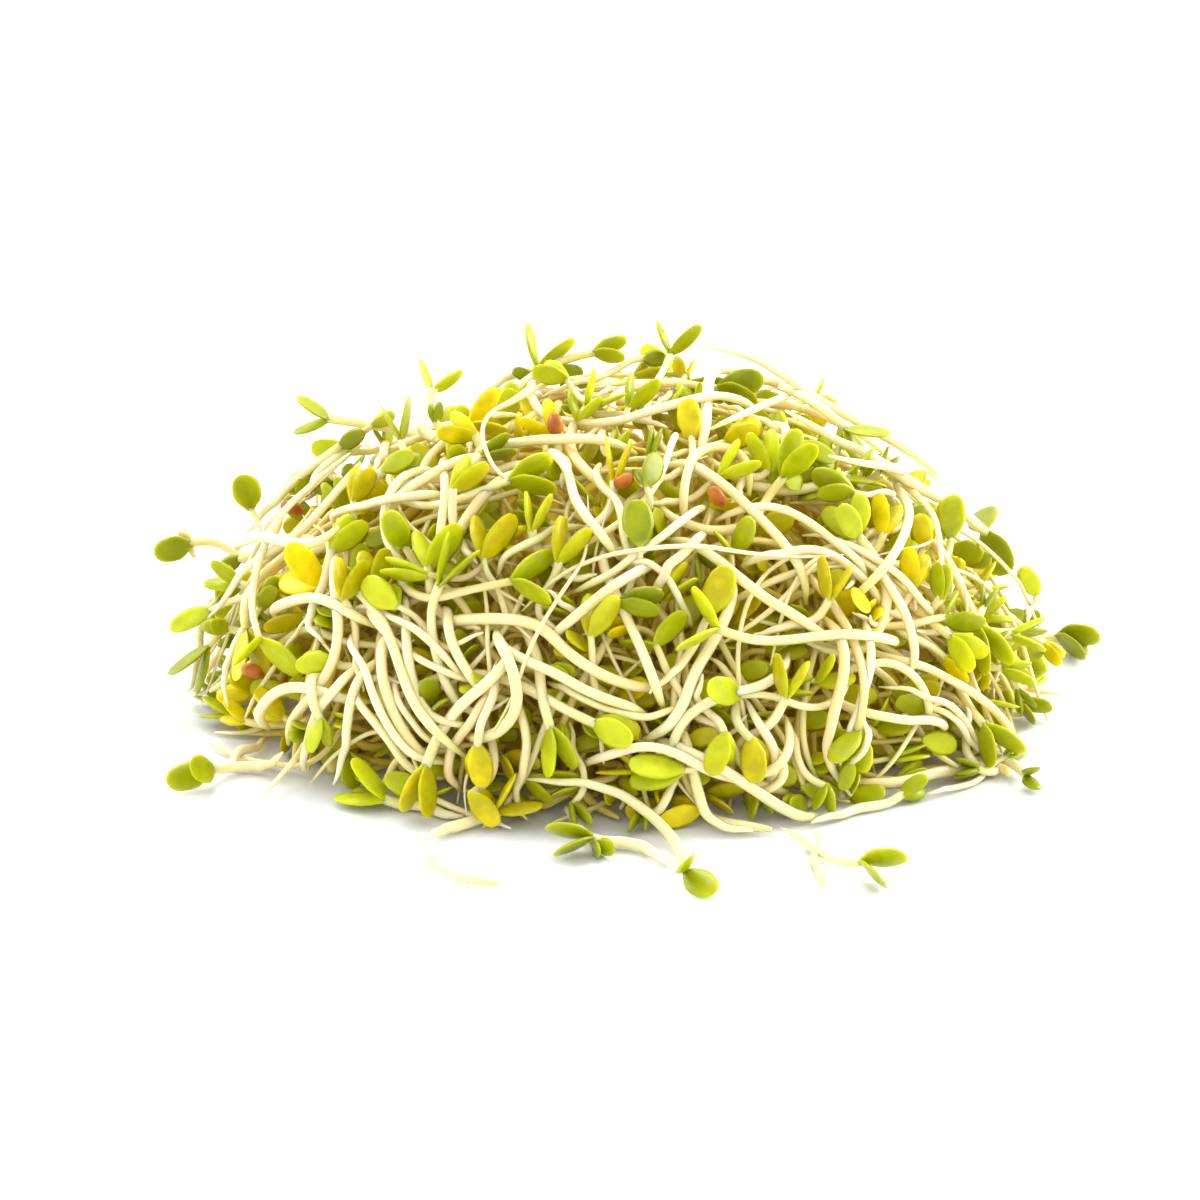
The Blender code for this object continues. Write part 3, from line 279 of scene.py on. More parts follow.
# The filling: how deep its layers lie, how much thinner its stems are, how
# closely they pack, how far out they may reach, how many of them show seed
# leaves, and how those near the table turn out from the heap's middle.
LOOK_SEED = 11
STEM_LAYERS = (0.76, 0.82, 0.88, 0.94)
HEAD_LAYERS = (0.84, 0.89, 0.94)
THREAD_LAYERS = (0.96, 1.01)
FILL_ROUND = (0.04, 0.97)
FILL_THICKNESS = (0.42, 0.75)
SPOTTED_THICKNESS = (0.5, 0.8)
SPOTTED_CUT = 4
THREAD_THICKNESS = (0.3, 0.42)
FILL_PACKING = 0.92
FILL_PIECES = 12
STEM_LEAFY = 0.4
FILL_SETTLE_ROUNDS = 110
FILL_LIMITS = (0.9, 1.08)
FILL_LEAVES = (3.0, 4.2)
FILL_SPREADS = (8.0, 34.0)
ON_TABLE = 0.01
STRAY_LIMIT = 9.0
HEM_ROUND = 0.4
HEM_TURN = 50.0
STRAND_THICKNESS = (0.56, 0.92)

# The tones of seed leaves, and how common each is.
LEAF_TONES = (0.08, 0.3, 0.42, 0.58, 0.78, 0.95)
LEAF_TONE_SHARES = (8, 20, 22, 22, 16, 12)

# The shape of a seed leaf of length and width 1: its stalk's width, where it is
# widest, how deep its inner face is dished, and how far its tip curls back. Its
# body is thinner than the solid model's, in millimetres, and leaves vary in
# length and breadth. A fine leaf or stem has more faces than one in the filling.
LEAF_STALK = 0.2
LEAF_WIDEST = 0.46
LEAF_DISH = 0.12
LEAF_CURL = 0.35
LEAF_BODY = 0.95
LEAF_VARIATION = (0.92, 1.02)
LEAF_BREADTH = (0.95, 1.12)
LEAF_FINISHES = ((12, 9), (8, 7))
STEM_FINISHES = ((2, 2), (1, 2))

# How much a stem's line is smoothed, how much less it wavers than a root, how
# far into the heap its colours turn to painted shade, and how much inner flesh glows.
SMOOTHING = 0.3
STEM_WAVE = 0.12
PAINTED_SHADE_SPAN = 0.16
INNER_GLOW = 0.25

# More seed leaves that show in the picture: pixel at the base, the way the pair
# points in degrees, the leaf's length, its turn, its spread and its tone.
SPOTTED_HEADS = (
    (652, 492, 95, 3.8, 75, 25, 0.05), (640, 552, 85, 4.6, 85, 20, 0.1), (622, 606, 0, 4.0, 80, 20, 0.1),
    (656, 640, 100, 4.4, 50, 70, 0.35), (776, 440, -60, 4.6, 20, 18, 0.3),
    (783, 462, -90, 4.0, 85, 25, 0.5), (836, 490, 190, 4.2, 80, 25, 0.3), (755, 460, 80, 4.0, 85, 20, 0.6),
    (226, 626, 150, 2.6, 60, 30, 0.3), (330, 672, 150, 3.2, 80, 25, 0.6),
    (326, 718, -95, 3.2, 70, 25, 0.45), (652, 822, -95, 3.2, 60, 20, 0.2),
    (578, 802, -80, 3.0, 30, 18, 0.2), (765, 792, -100, 2.8, 40, 25, 0.2),
    (806, 792, -60, 2.8, 40, 25, 0.25), (838, 764, -110, 2.8, 50, 20, 0.25),
    (940, 650, 0, 3.2, 85, 25, 0.95), (676, 372, 90, 3.6, 85, 20, 0.85), (690, 380, 10, 3.8, 40, 20, 0.3),
    (842, 446, 60, 2.4, 30, 25, 0.3), (905, 534, 90, 3.4, 80, 20, 0.85), (428, 572, 95, 5.0, 85, 35, 0.55),
    (378, 596, 110, 4.4, 85, 25, 0.75), (352, 604, 100, 4.2, 85, 25, 0.8),
    (460, 448, 120, 3.8, 80, 25, 0.9), (545, 434, 95, 4.2, 90, 30, 0.98), (588, 412, 95, 3.6, 30, 25, 0.35),
    (628, 406, 80, 4.0, 20, 25, 0.35), (1040, 592, 80, 3.2, 60, 30, 0.62),
    (1018, 630, 45, 3.4, 20, 12, 0.2), (1044, 646, -25, 2.6, 60, 20, 0.92),
    (975, 606, 75, 2.6, 40, 20, 0.1), (934, 606, 60, 3.6, 30, 14, 0.3), (930, 620, 40, 4.6, 80, 30, 0.35),
    (998, 668, 30, 3.2, 60, 20, 0.45), (1010, 690, -60, 2.4, 30, 25, 0.1),
    (1010, 772, 60, 2.8, 40, 20, 0.3), (1002, 784, 200, 2.8, 70, 20, 0.05),
    (958, 772, 250, 3.0, 60, 20, 0.3), (925, 704, 190, 3.8, 70, 20, 0.3),
    (488, 556, 100, 5.0, 88, 30, 0.78), (622, 494, 80, 4.6, 60, 20, 0.95),
    (430, 566, 160, 4.6, 15, 12, 0.5), (590, 628, 90, 4.4, 85, 25, 0.7), (672, 752, 180, 5.0, 60, 16, 0.5),
    (486, 742, -95, 4.2, 80, 25, 0.85), (740, 742, -60, 4.4, 85, 25, 0.8),
    (710, 734, -90, 4.2, 85, 25, 0.62), (405, 600, 120, 4.6, 88, 25, 0.62),
    (232, 560, 150, 2.6, 60, 20, 0.15), (265, 606, 30, 3.2, 20, 20, 0.2), (222, 600, 60, 3.4, 60, 25, 0.4),
    (430, 790, 150, 4.0, 60, 25, 0.5), (376, 790, 200, 2.8, 50, 20, 0.3), (496, 796, -80, 3.8, 80, 25, 0.9),
    (560, 384, 120, 3.4, 60, 25, 0.5), (640, 372, 60, 3.2, 50, 25, 0.8), (385, 436, 100, 3.4, 20, 20, 0.4),
    (300, 470, 130, 3.6, 50, 20, 0.35), (880, 470, 60, 3.0, 40, 20, 0.3), (900, 580, 80, 4.0, 80, 25, 0.9),
    (820, 600, 60, 4.4, 85, 25, 0.75), (700, 610, 80, 4.6, 88, 25, 0.82), (770, 690, 70, 4.2, 85, 25, 0.72),
    (560, 560, 80, 4.6, 88, 25, 0.74), (648, 354, 45, 2.6, 20, 10, 0.1), (531, 374, 120, 2.0, 60, 20, 0.05),
    (550, 370, -40, 2.8, 10, 10, 0.15), (790, 390, -60, 2.2, 40, 15, 0.1),
    (815, 404, 50, 2.6, 60, 25, 0.45), (346, 398, 60, 2.2, 60, 25, 0.4), (364, 416, 50, 2.2, 60, 25, 0.5),
    (306, 408, -15, 2.8, 10, 10, 0.15), (437, 424, 90, 2.0, 40, 20, 0.1), (486, 460, 20, 3.4, 60, 20, 0.05),
    (586, 410, 150, 2.4, 20, 12, 0.08), (660, 462, 80, 3.0, 15, 12, 0.1), (693, 434, 90, 3.8, 85, 30, 0.9),
    (728, 436, 60, 4.2, 85, 30, 0.88), (720, 474, 60, 4.4, 85, 25, 0.62),
    (796, 458, -35, 3.8, 10, 10, 0.12), (830, 476, 15, 3.6, 20, 12, 0.15), (860, 468, 70, 2.8, 15, 12, 0.1),
    (395, 476, 0, 3.6, 10, 10, 0.3), (306, 480, -45, 3.4, 30, 14, 0.25), (364, 502, 80, 3.6, 80, 20, 0.85),
    (850, 528, 80, 3.4, 80, 20, 0.6), (880, 532, 70, 4.0, 85, 25, 0.9), (898, 512, 60, 2.0, 30, 20, 0.05),
    (470, 502, 60, 4.0, 85, 20, 0.7), (545, 522, 80, 4.2, 85, 20, 0.65), (330, 562, 70, 4.0, 80, 20, 0.6),
)

# Thinner strands that show on the front between the main ones: the pixels that
# each passes through.
SPOTTED_STRANDS = (
    ((405, 612), (402, 640), (412, 668), (430, 698), (452, 716)),
    ((352, 640), (364, 660), (384, 692), (402, 718), (430, 754)),
    ((398, 690), (407, 704), (424, 722), (438, 736)),
    ((356, 610), (388, 606), (414, 614), (440, 642), (454, 660)),
    ((368, 600), (398, 632), (430, 652), (464, 676)), ((306, 757), (315, 735), (328, 704), (346, 684)),
    ((452, 768), (462, 738), (472, 712), (484, 690)), ((505, 560), (522, 546), (542, 540), (562, 529)),
    ((567, 680), (592, 690), (618, 704), (664, 712)), ((520, 797), (524, 764), (531, 736), (520, 710)),
    ((695, 730), (715, 752), (740, 766), (762, 754), (772, 730)), ((750, 715), (758, 735), (763, 774)),
    ((662, 587), (676, 566), (694, 544)), ((637, 566), (660, 578), (682, 608)),
    ((588, 764), (618, 746), (668, 742), (718, 760), (782, 796)),
    ((852, 560), (880, 590), (896, 622), (900, 660)), ((760, 560), (800, 556), (842, 572), (872, 600)),
    ((900, 690), (938, 700), (962, 728), (974, 752)), ((480, 452), (520, 446), (566, 440), (612, 446)),
    ((560, 410), (610, 420), (660, 410), (720, 404), (770, 412)),
    ((420, 470), (400, 496), (392, 530), (398, 560)), ((330, 520), (360, 508), (398, 512), (430, 500)),
    ((600, 480), (622, 500), (640, 524), (634, 556)), ((830, 540), (862, 566), (900, 584), (934, 612)),
)

# Thin sprouts that lie flat on the table round the heap, root end first: the
# leaf's length, its tone and pixels.
SPOTTED_STRAYS = (
    (0.0, 0.3, ((428, 828), (440, 848), (466, 864), (506, 870))),
    (0.0, 0.3, ((800, 828), (803, 846), (806, 862), (806, 872))),
    (0.0, 0.3, ((690, 790), (704, 812), (730, 822), (762, 824))),
    (3.0, 0.3, ((800, 818), (832, 808), (862, 800), (890, 796))),
    (2.6, 0.2, ((936, 668), (968, 662), (996, 668), (1018, 676))),
    (0.0, 0.2, ((1040, 640), (1058, 644), (1072, 652), (1084, 664))),
    (2.8, 0.15, ((968, 744), (986, 756), (1002, 770), (1012, 780))),
    (0.0, 0.3, ((270, 742), (262, 752), (248, 760), (238, 772))),
    (0.0, 0.3, ((190, 560), (178, 552), (168, 542), (164, 534))),
    (2.8, 0.25, ((562, 800), (570, 812), (576, 822), (580, 834))),
)

# The stage, in metres and watts: each light's place and power.
FLOOR_SIZE = 8.0
FLOOR_DROP = -0.0001
FLOOR_SHADE = (0.74, 0.745, 0.75)
SKY_STRENGTH = 1.25
VIEW_MIDDLE = (-0.002, 0.0, 0.0094)
LIGHT_SIZE = 0.5
SOFT_LIGHTS = (
    ("key", (-0.1, 0.45, 0.75), 5.0),
    ("left", (-0.72, 0.3, 0.38), 4.5),
    ("right", (0.72, 0.25, 0.38), 9.5),
)


# The heap's own shape, and where a pixel of the picture lies on it.


def heap_height(x, y, share):
    """Height of a layer inside the heap, whose outside is share 1."""
    across, away = x / (HEAP_SIZES[0] * share), y / (HEAP_SIZES[1] * share)
    room = 1.0 - across * across - away * away
    return HEAP_SIZES[2] * share * max(room, 0.0) ** HEAP_FULLNESS


def core_share(point):
    """How far out a point lies, as a share of the distance to the core's surface."""
    return max(Vector(part / (CORE_SHARE * size) for part, size in zip(point, HEAP_SIZES)).length, 0.01)


def seen_at(pixel, share):
    """The point of a layer of the heap, or of the table, that shows at a pixel."""
    across = (pixel[0] - FOOT_PIXEL[0]) / PIXELS_PER_MM
    drop = (FOOT_PIXEL[1] - pixel[1]) / PIXELS_PER_MM / math.cos(EYE_ELEVATION)
    rise = math.tan(EYE_ELEVATION)
    away = SEEN_FROM * HEAP_SIZES[1]
    nearest = (-1e9, 0.0)
    while away < TABLE_DEPTH:
        height = drop - away * rise
        over = heap_height(across, away, share) - height
        if over >= 0.0 or height <= 0.0:
            return Vector((across, away, max(height, 0.0)))
        if away < RIDGE_DEPTH:
            nearest = max(nearest, (over, away))
        away += SEEN_STEP
    return Vector((across, nearest[1], drop - nearest[1] * rise))


# A strand is a dictionary: the tuft it belongs to, its points from the root's
# tip to the neck, a radius at each, and its two leaves if it has them.


def strand(tuft, points, radii, leaf=0.0, spread=0.0, side=None, held=0.0):
    return dict(tuft=tuft, points=points, radii=radii, leaf=leaf, spread=spread, side=side, held=held)


def stem_radii(count, has_root):
    """Radii from the root's tip, through the thicker stem, to the neck."""
    radii = []
    for place in range(count):
        along = place / (count - 1)
        if has_root and along < ROOT_SHARE:
            radii.append(ROOT_TIP_RADIUS + (STEM_RADIUS - ROOT_TIP_RADIUS) * (along / ROOT_SHARE))
        else:
            ripened = max(0.0, (along - NECK_FROM) / NECK_SPAN)
            radii.append(STEM_RADIUS + (NECK_RADIUS - STEM_RADIUS) * ripened)
    return radii


def evenly_spaced(points, count):
    """The same line with a number of points at equal distances."""
    reached = [0.0]
    for a, b in zip(points, points[1:]):
        reached.append(reached[-1] + (b - a).length)
    spaced, piece = [], 0
    for place in range(count):
        wanted = reached[-1] * place / (count - 1)
        while piece < len(points) - 2 and reached[piece + 1] < wanted:
            piece += 1
        share = (wanted - reached[piece]) / max(reached[piece + 1] - reached[piece], 1e-6)
        spaced.append(points[piece].lerp(points[piece + 1], min(share, 1.0)))
    return spaced


def walk(rng, start, heading, share, length, turn, lift):
    """A line that wanders over a layer of the heap, as a limp stem lies on it."""
    x, y = start
    line = [Vector((x, y, heap_height(x, y, share) + lift))]
    wobble = 0.0
    for _ in range(int(length)):
        wobble = WOBBLE_KEPT * wobble + rng.uniform(-WOBBLE, WOBBLE)
        heading += turn + wobble
        ahead = heap_height(x + LOOK_AHEAD * math.cos(heading), y + LOOK_AHEAD * math.sin(heading), share)
        slope = max(-STEEPEST, min(STEEPEST, (ahead - heap_height(x, y, share)) / LOOK_AHEAD))
        stride = 1.0 / math.sqrt(1.0 + slope * slope)
        x += stride * math.cos(heading)
        y += stride * math.sin(heading)
        line.append(Vector((x, y, heap_height(x, y, share) + lift)))
    return line


def on_table(line):
    """The line as a strand's points, none of them below the table."""
    points = evenly_spaced(line, POINTS_PER_SPROUT)
    for point in points:
        point.z = max(point.z, STEM_RADIUS)
    return points


def side_of(rng, along):
    """A direction square to the stem's end, in which its two leaves part."""
    spin = rng.uniform(0.0, 2.0 * math.pi)
    return Matrix.Rotation(spin, 3, along) @ along.orthogonal().normalized()


def whole_sprout(tuft, line, leaf, spread, side, held=0.0):
    """A sprout along a line from its root's tip to its two seed leaves."""
    radii = stem_radii(POINTS_PER_SPROUT, True)
    return strand(tuft, on_table(line), radii, leaf, math.radians(spread), side, held)


def wandering_sprout(rng, tuft, crossing, heading, share, lift):
    """A sprout of any shape that passes over a point of the heap."""
    length = rng.uniform(*SPROUT_LENGTHS)
    turn = math.radians(rng.uniform(-SPROUT_TURN, SPROUT_TURN))
    before = length * rng.uniform(*CROSSED_AT)
    back = walk(rng, crossing, heading + math.pi, share, before, -turn, lift)
    line = back[::-1] + walk(rng, crossing, heading, share, length - before, turn, lift)[1:]
    side = side_of(rng, line[-1] - line[-2])
    leaf = rng.uniform(*LEAF_LENGTHS)
    return whole_sprout(tuft, line, leaf, rng.uniform(*LEAF_SPREADS), side)


def ring_point(share, out, angle):
    """Where a bearing meets a ring round a layer of the heap."""
    return HEAP_SIZES[0] * share * out * math.cos(angle), HEAP_SIZES[1] * share * out * math.sin(angle)


def mat_sprouts(rng):
    """Stems that rise out of the matted core and sink back, all the way round it."""
    made = []
    for number in range(MAT_SPROUTS):
        angle = number * GOLDEN_ANGLE
        angle -= MAT_FORWARD * math.cos(angle)
        up = MAT_ROUND[0] + (MAT_ROUND[1] - MAT_ROUND[0]) * (number + 0.5) / MAT_SPROUTS
        crossing = ring_point(CORE_SHARE, math.sqrt(1.0 - up * up), angle)
        heading = angle + math.radians(rng.uniform(*MAT_HEADINGS))
        stem = wandering_sprout(rng, CORE, crossing, heading, CORE_SHARE, 0.0)
        stem["leaf"] = 0.0
        stem["held"] = []
        for place, point in enumerate(stem["points"]):
            outward = (point + HEART).normalized()
            swing = 2.0 * math.sqrt(math.sin(math.pi * place / (POINTS_PER_SPROUT - 1))) - 1.0
            point += outward * (MAT_WEAVE * swing - MAT_SINK)
            point.z = max(point.z, STEM_RADIUS)
            rooted = swing < ROOTED_SWING
            stem["held"].append(1.0 if rooted else MAT_HOLD)
            if rooted:
                point *= min(1.0, ROOTED_SHARE / core_share(point))
        made.append(stem)
    return made


def tuft_sprouts(rng):
    """Tufts of sprouts that cross, in layers over the heap's back and sides."""
    made = []
    for number in range(TUFTS):
        angle = TUFT_SIDES[0] + (TUFT_SIDES[1] - TUFT_SIDES[0]) * ((number * GOLDEN_SHARE) % 1.0)
        share = LAYERS[number % len(LAYERS)]
        crossing = ring_point(share, 0.3 + 0.62 * (number + 0.5) / TUFTS, angle)
        heading = rng.uniform(0.0, math.pi)
        for member in range(SPROUTS_PER_TUFT):
            turned = heading + member * math.pi / SPROUTS_PER_TUFT
            turned += math.pi * rng.randrange(2) + rng.uniform(-TUFT_TWIST, TUFT_TWIST)
            name = f"tuft_{number + 1:02d}"
            made.append(wandering_sprout(rng, name, crossing, turned, share, TUFT_RISE * member))
            if member % 2:
                made[-1]["leaf"] = 0.0
    return made


def tucked_end(end, before):
    """Where a strand goes that slips in under the others."""
    return end + (end - before).normalized() * TUCK_ON + (HEART - end).normalized() * TUCK_IN


def seen_strands(rng):
    """The strands that stand out on the front, laid on the heap's outside."""
    made = []
    for tuft, (root_end, neck_end), pixels in SEEN_STRANDS:
        line = [seen_at(pixel, 1.0) for pixel in pixels]
        if root_end == "tucked":
            line.insert(0, tucked_end(line[0], line[1]))
        if neck_end == "tucked":
            line.append(tucked_end(line[-1], line[-2]))
        points = on_table(line)
        leaf = rng.uniform(*LEAF_LENGTHS) if neck_end == "leafy" else 0.0
        spread = math.radians(rng.uniform(*LEAF_SPREADS))
        side = side_of(rng, points[-1] - points[-2])
        radii = stem_radii(len(points), root_end == "open")
        made.append(strand(tuft, points, radii, leaf, spread, side, held=STRAND_HOLD))
    return made


def head_at(rng, tuft, pixel, pointing, leaf, showing, spread=None):
    """A sprout whose leaves stand out, with the stem run back under the others."""
    angle = math.radians(pointing)
    base = seen_at(pixel, 1.0)
    along = Vector((math.cos(angle), HEAD_FORWARD, math.sin(angle))).normalized()
    neck = base - along * HEAD_NECK
    lift = neck.z - heap_height(neck.x, neck.y, 1.0)
    length = rng.uniform(*SPROUT_LENGTHS) - HEAD_SHORTER
    homeward = math.atan2(-neck.y, -neck.x) - (angle + math.pi)
    homeward = (homeward + math.pi) % (2.0 * math.pi) - math.pi
    turn = homeward / length + math.radians(rng.uniform(-HEAD_TURN, HEAD_TURN))
    line = [base, neck]
    run = walk(rng, neck[:2], angle + math.pi, 1.0, length, turn, 0.0)
    for gone, point in enumerate(run[1:], 1):
        point.z += lift * max(0.0, 1.0 - gone / HEAD_RUN_IN) - HEAD_SLIP_UNDER * gone
        point.z = min(point.z, neck.z + 0.5 * gone)
        line.append(point)
    across = Vector((math.sin(angle), 0.0, -math.cos(angle)))
    turned = math.radians(showing)
    side = (across * math.cos(turned) + Vector((0.0, -1.0, 0.0)) * math.sin(turned)).normalized()
    spread = rng.uniform(*HEAD_SPREADS) if spread is None else spread
    sprout = whole_sprout(tuft, line[::-1], leaf, spread, side)
    last = POINTS_PER_SPROUT - 1
    sprout["held"] = [HEAD_HOLD * (place / last) ** 2 for place in range(last + 1)]
    return sprout


def seen_heads(rng):
    """The sprouts of the solid model whose leaves stand out, each with its tone."""
    made = []
    for tuft, pixel, pointing, leaf, showing, tone in SEEN_HEADS:
        made.append(head_at(rng, tuft, pixel, pointing, leaf, showing))
        made[-1]["seen_tone"] = tone
    return made


def seen_strays(rng):
    """Single sprouts that lie on the table round the heap."""
    made = []
    for name, layer, tone, pixels in SEEN_STRAYS:
        line = [seen_at(pixel, layer) for pixel in pixels]
        leaf = rng.uniform(*LEAF_LENGTHS)
        upward = Vector((rng.uniform(-0.4, 0.4), 0.0, 1.0)).normalized()
        spread = rng.uniform(*STRAY_SPREADS)
        made.append(whole_sprout(name, line, leaf, spread, upward, held=STRAND_HOLD))
        made[-1]["seen_tone"] = tone
    return made


def seed_coats(rng):
    """Empty seed coats, each a short line with the seed's own radius."""
    made = []
    for name, pixel in SEEN_SEEDS:
        middle = seen_at(pixel, ON_HEAP)
        lean = Vector((rng.uniform(-1, 1), rng.uniform(-0.3, 0.3), rng.uniform(-1, 1))).normalized()
        half = 0.5 * (SEED_SIZES[2] - SEED_SIZES[1]) * lean
        radii = [0.5 * SEED_SIZES[1]] * 2
        made.append(strand(name, [middle - half, middle + half], radii, held=STRAND_HOLD))
    return made


def all_strands():
    rng = random.Random(LAYOUT_SEED)
    made = []
    for rule in (mat_sprouts, tuft_sprouts, seen_strands, seen_heads, seen_strays, seed_coats):
        made += rule(rng)
    return made


# Settling: the points are moved step by step until no two tufts touch, each
# stem keeps its length and bends gently, and sprouts of one tuft cling.


def dot(a, b):
    return a[:, 0] * b[:, 0] + a[:, 1] * b[:, 1] + a[:, 2] * b[:, 2]


def nearest_shares(a0, a1, b0, b1):
    """How far along each of two sets of straight pieces they come closest."""
    u, v, w = a1 - a0, b1 - b0, a0 - b0
    uu, uv, vv, uw, vw = dot(u, u), dot(u, v), dot(v, v), dot(u, w), dot(v, w)
    spare = uu * vv - uv * uv
    s = np.where(spare > 1e-6, (uv * vw - vv * uw) / np.maximum(spare, 1e-6), 0.5)
    s = np.minimum(np.maximum(s, 0.0), 1.0)
    t = np.minimum(np.maximum((uv * s + vw) / vv, 0.0), 1.0)
    s = np.minimum(np.maximum((uv * t - uw) / uu, 0.0), 1.0)
    return s, t


class Settling:
    """All the strands as points, links that keep lengths, and solid pieces."""

    rounds = SETTLE_ROUNDS

    def __init__(self, strands):
        self.strands = strands
        self.tufts = sorted({each["tuft"] for each in strands})
        self.rows, self.holds, self.links, self.pieces = [], [], [], []
        for number, each in enumerate(strands):
            base = each["first"] = len(self.rows)
            line, radii = each["points"], each["radii"]
            tuft = self.tufts.index(each["tuft"])
            self.rows += [tuple(round(c, 6) for c in point) for point in line]
            held = each["held"]
            self.holds += held if isinstance(held, list) else [held] * len(line)
            for place in range(len(line) - 1):
                radius = max(radii[place], radii[place + 1])
                inner = 0 < place < len(line) - 2
                ends = (base + place, base + place + 1)
                self.pieces.append((*ends, 0.0, 1.0, radius, number, tuft, inner))
            for step, strength in STEM_LINKS:
                for place in range(len(line) - step):
                    rest = (line[place + step] - line[place]).length
                    self.links.append((base + place, base + place + step, rest, strength))
            if each["leaf"]:
                self.add_leaves(each, base, number, tuft)
                self.holds += [self.holds[-1]] * 2
        self.points = np.array(self.rows)
        self.home = self.points.copy()
        self.held = np.array(self.holds)[:, None]
        self.link_ends = np.array([link[:2] for link in self.links])
        self.link_rest, self.link_pull = (np.array([link[n] for link in self.links]) for n in (2, 3))
        self.piece_ends = np.array([piece[:2] for piece in self.pieces])
        start, stop, *others = (np.array([piece[n] for piece in self.pieces]) for n in range(2, 8))
        self.piece_from, self.piece_to = start[:, None], stop[:, None]
        self.piece_radius, self.piece_strand, self.piece_tuft, self.inner = others

    def add_leaves(self, each, base, number, tuft):
        line, leaf = each["points"], each["leaf"]
        neck = base + len(line) - 1
        along = (line[-1] - line[-2]).normalized()
        side = each["side"] - along * each["side"].dot(along)
        side = side.normalized() if side.length > 0.1 else along.orthogonal().normalized()
        reach = leaf * math.cos(each["spread"])
        part = leaf * math.sin(each["spread"])
        radius = 0.5 * leaf * LEAF_WIDTH_SHARE
        tips = each["tips"] = []
        for sign in (1.0, -1.0):
            tip = line[-1] + along * reach + side * (sign * part)
            tip.z = max(tip.z, 0.5 * LEAF_THICKNESS)
            tips.append(len(self.rows))
            self.rows.append(tuple(round(c, 6) for c in tip))
            self.links.append((neck, tips[-1], leaf, 1.0))
            self.links.append((neck - 1, tips[-1], (tip - line[-2]).length, LEAF_STIFFNESS))
            self.pieces.append((neck, tips[-1], *LEAF_TOUCH, radius, number, tuft, False))
        self.links.append((*tips, 2.0 * part, LEAF_STIFFNESS))

    def ends_of(self, pieces):
        first, second = (self.points[self.piece_ends[pieces, end]] for end in (0, 1))
        step = second - first
        return first + step * self.piece_from[pieces], first + step * self.piece_to[pieces]

    def pair_gaps(self, a, b):
        """Closest points of pairs of pieces, as shares along each, and their gap."""
        (a0, a1), (b0, b1) = self.ends_of(a), self.ends_of(b)
        s, t = nearest_shares(a0, a1, b0, b1)
        gap = a0 + (a1 - a0) * s[:, None] - b0 - (b1 - b0) * t[:, None]
        return s, t, gap, np.sqrt(dot(gap, gap))

    def find_clings(self):
        """Pairs of strands of one tuft that cling, so that each tuft holds together."""
        clings = []
        for tuft in self.tufts:
            members = [number for number, each in enumerate(self.strands) if each["tuft"] == tuft != CORE]
            joined = members[:1]
            del members[:1]
            while members:
                _, a, b = min((self.strand_gap(a, b), a, b) for a in joined for b in members)
                clings.append((a, b))
                joined.append(b)
                members.remove(b)
        return clings

    def stem_pairs(self, a, b):
        """Every pairing of the inner pieces of two stems, without their end pieces."""
        inner_a, inner_b = (np.flatnonzero(self.inner & (self.piece_strand == n)) for n in (a, b))
        return np.repeat(inner_a, len(inner_b)), np.tile(inner_b, len(inner_a))

    def strand_gap(self, a, b):
        return float(self.pair_gaps(*self.stem_pairs(a, b))[3].min())

    def near_pairs(self):
        """Pairs of pieces of different strands that are close enough to meet soon."""
        a0, a1 = self.ends_of(np.arange(len(self.piece_ends)))
        middle, step = 0.5 * (a0 + a1), a1 - a0
        reach = 0.5 * np.sqrt(dot(step, step)) + self.piece_radius
        found = []
        for first in range(0, len(middle), BLOCK):
            block = slice(first, first + BLOCK)
            away = middle[block, None, :] - middle[None, :, :]
            far = away[..., 0] ** 2 + away[..., 1] ** 2 + away[..., 2] ** 2
            room = reach[block, None] + reach[None, :] + TUFT_GAP + SOON
            a, b = np.nonzero(far < room * room)
            a = a + first
            keep = (a < b) & (self.piece_strand[a] != self.piece_strand[b])
            found.append((a[keep], b[keep]))
        a, b = (np.concatenate(side) for side in zip(*found))
        reach_sum = self.piece_radius[a] + self.piece_radius[b]
        same = self.piece_tuft[a] == self.piece_tuft[b]
        apart = reach_sum + np.where(same, OWN_GAP, TUFT_GAP)
        clinging = np.zeros(len(a), bool)
        first, second = self.piece_strand[a], self.piece_strand[b]
        for one, other in self.clings:
            clinging |= (first == one) & (second == other) | (first == other) & (second == one)
        return a, b, np.where(clinging, CLING_EASE * CLING_SHARE * reach_sum, apart)

    def push(self, a, b, s, t, gap, distance, change):
        """Moves the points of paired pieces so that each gap grows by its change."""
        away = gap / np.maximum(distance, 1e-4)[:, None]
        away = np.where((distance < 1e-4)[:, None], np.array([[0.0, 0.0, 1.0]]), away)
        shares = []
        for pieces, place in ((a, s), (b, t)):
            start, stop = self.piece_from[pieces, 0], self.piece_to[pieces, 0]
            second = start + place * (stop - start)
            shares += [1.0 - second, second]
        total = sum(share * share for share in shares)
        ends = [self.piece_ends[pieces, end] for pieces in (a, b) for end in (0, 1)]
        for end, share, sign in zip(ends, shares, (1.0, 1.0, -1.0, -1.0)):
            self.add_shift(end, (sign * change * share / total)[:, None] * away)
            self.count[:, 0] += np.bincount(end, np.minimum(share * 2.0, 1.0), len(self.points))

    def add_shift(self, ends, moves):
        for axis in range(3):
            self.shift[:, axis] += np.bincount(ends, moves[:, axis], len(self.points))

    def apply_shift(self, strength):
        self.points += strength * self.shift / np.maximum(self.count, 1.0)

    def start_shift(self):
        self.shift = np.zeros_like(self.points)
        self.count = np.zeros((len(self.points), 1))

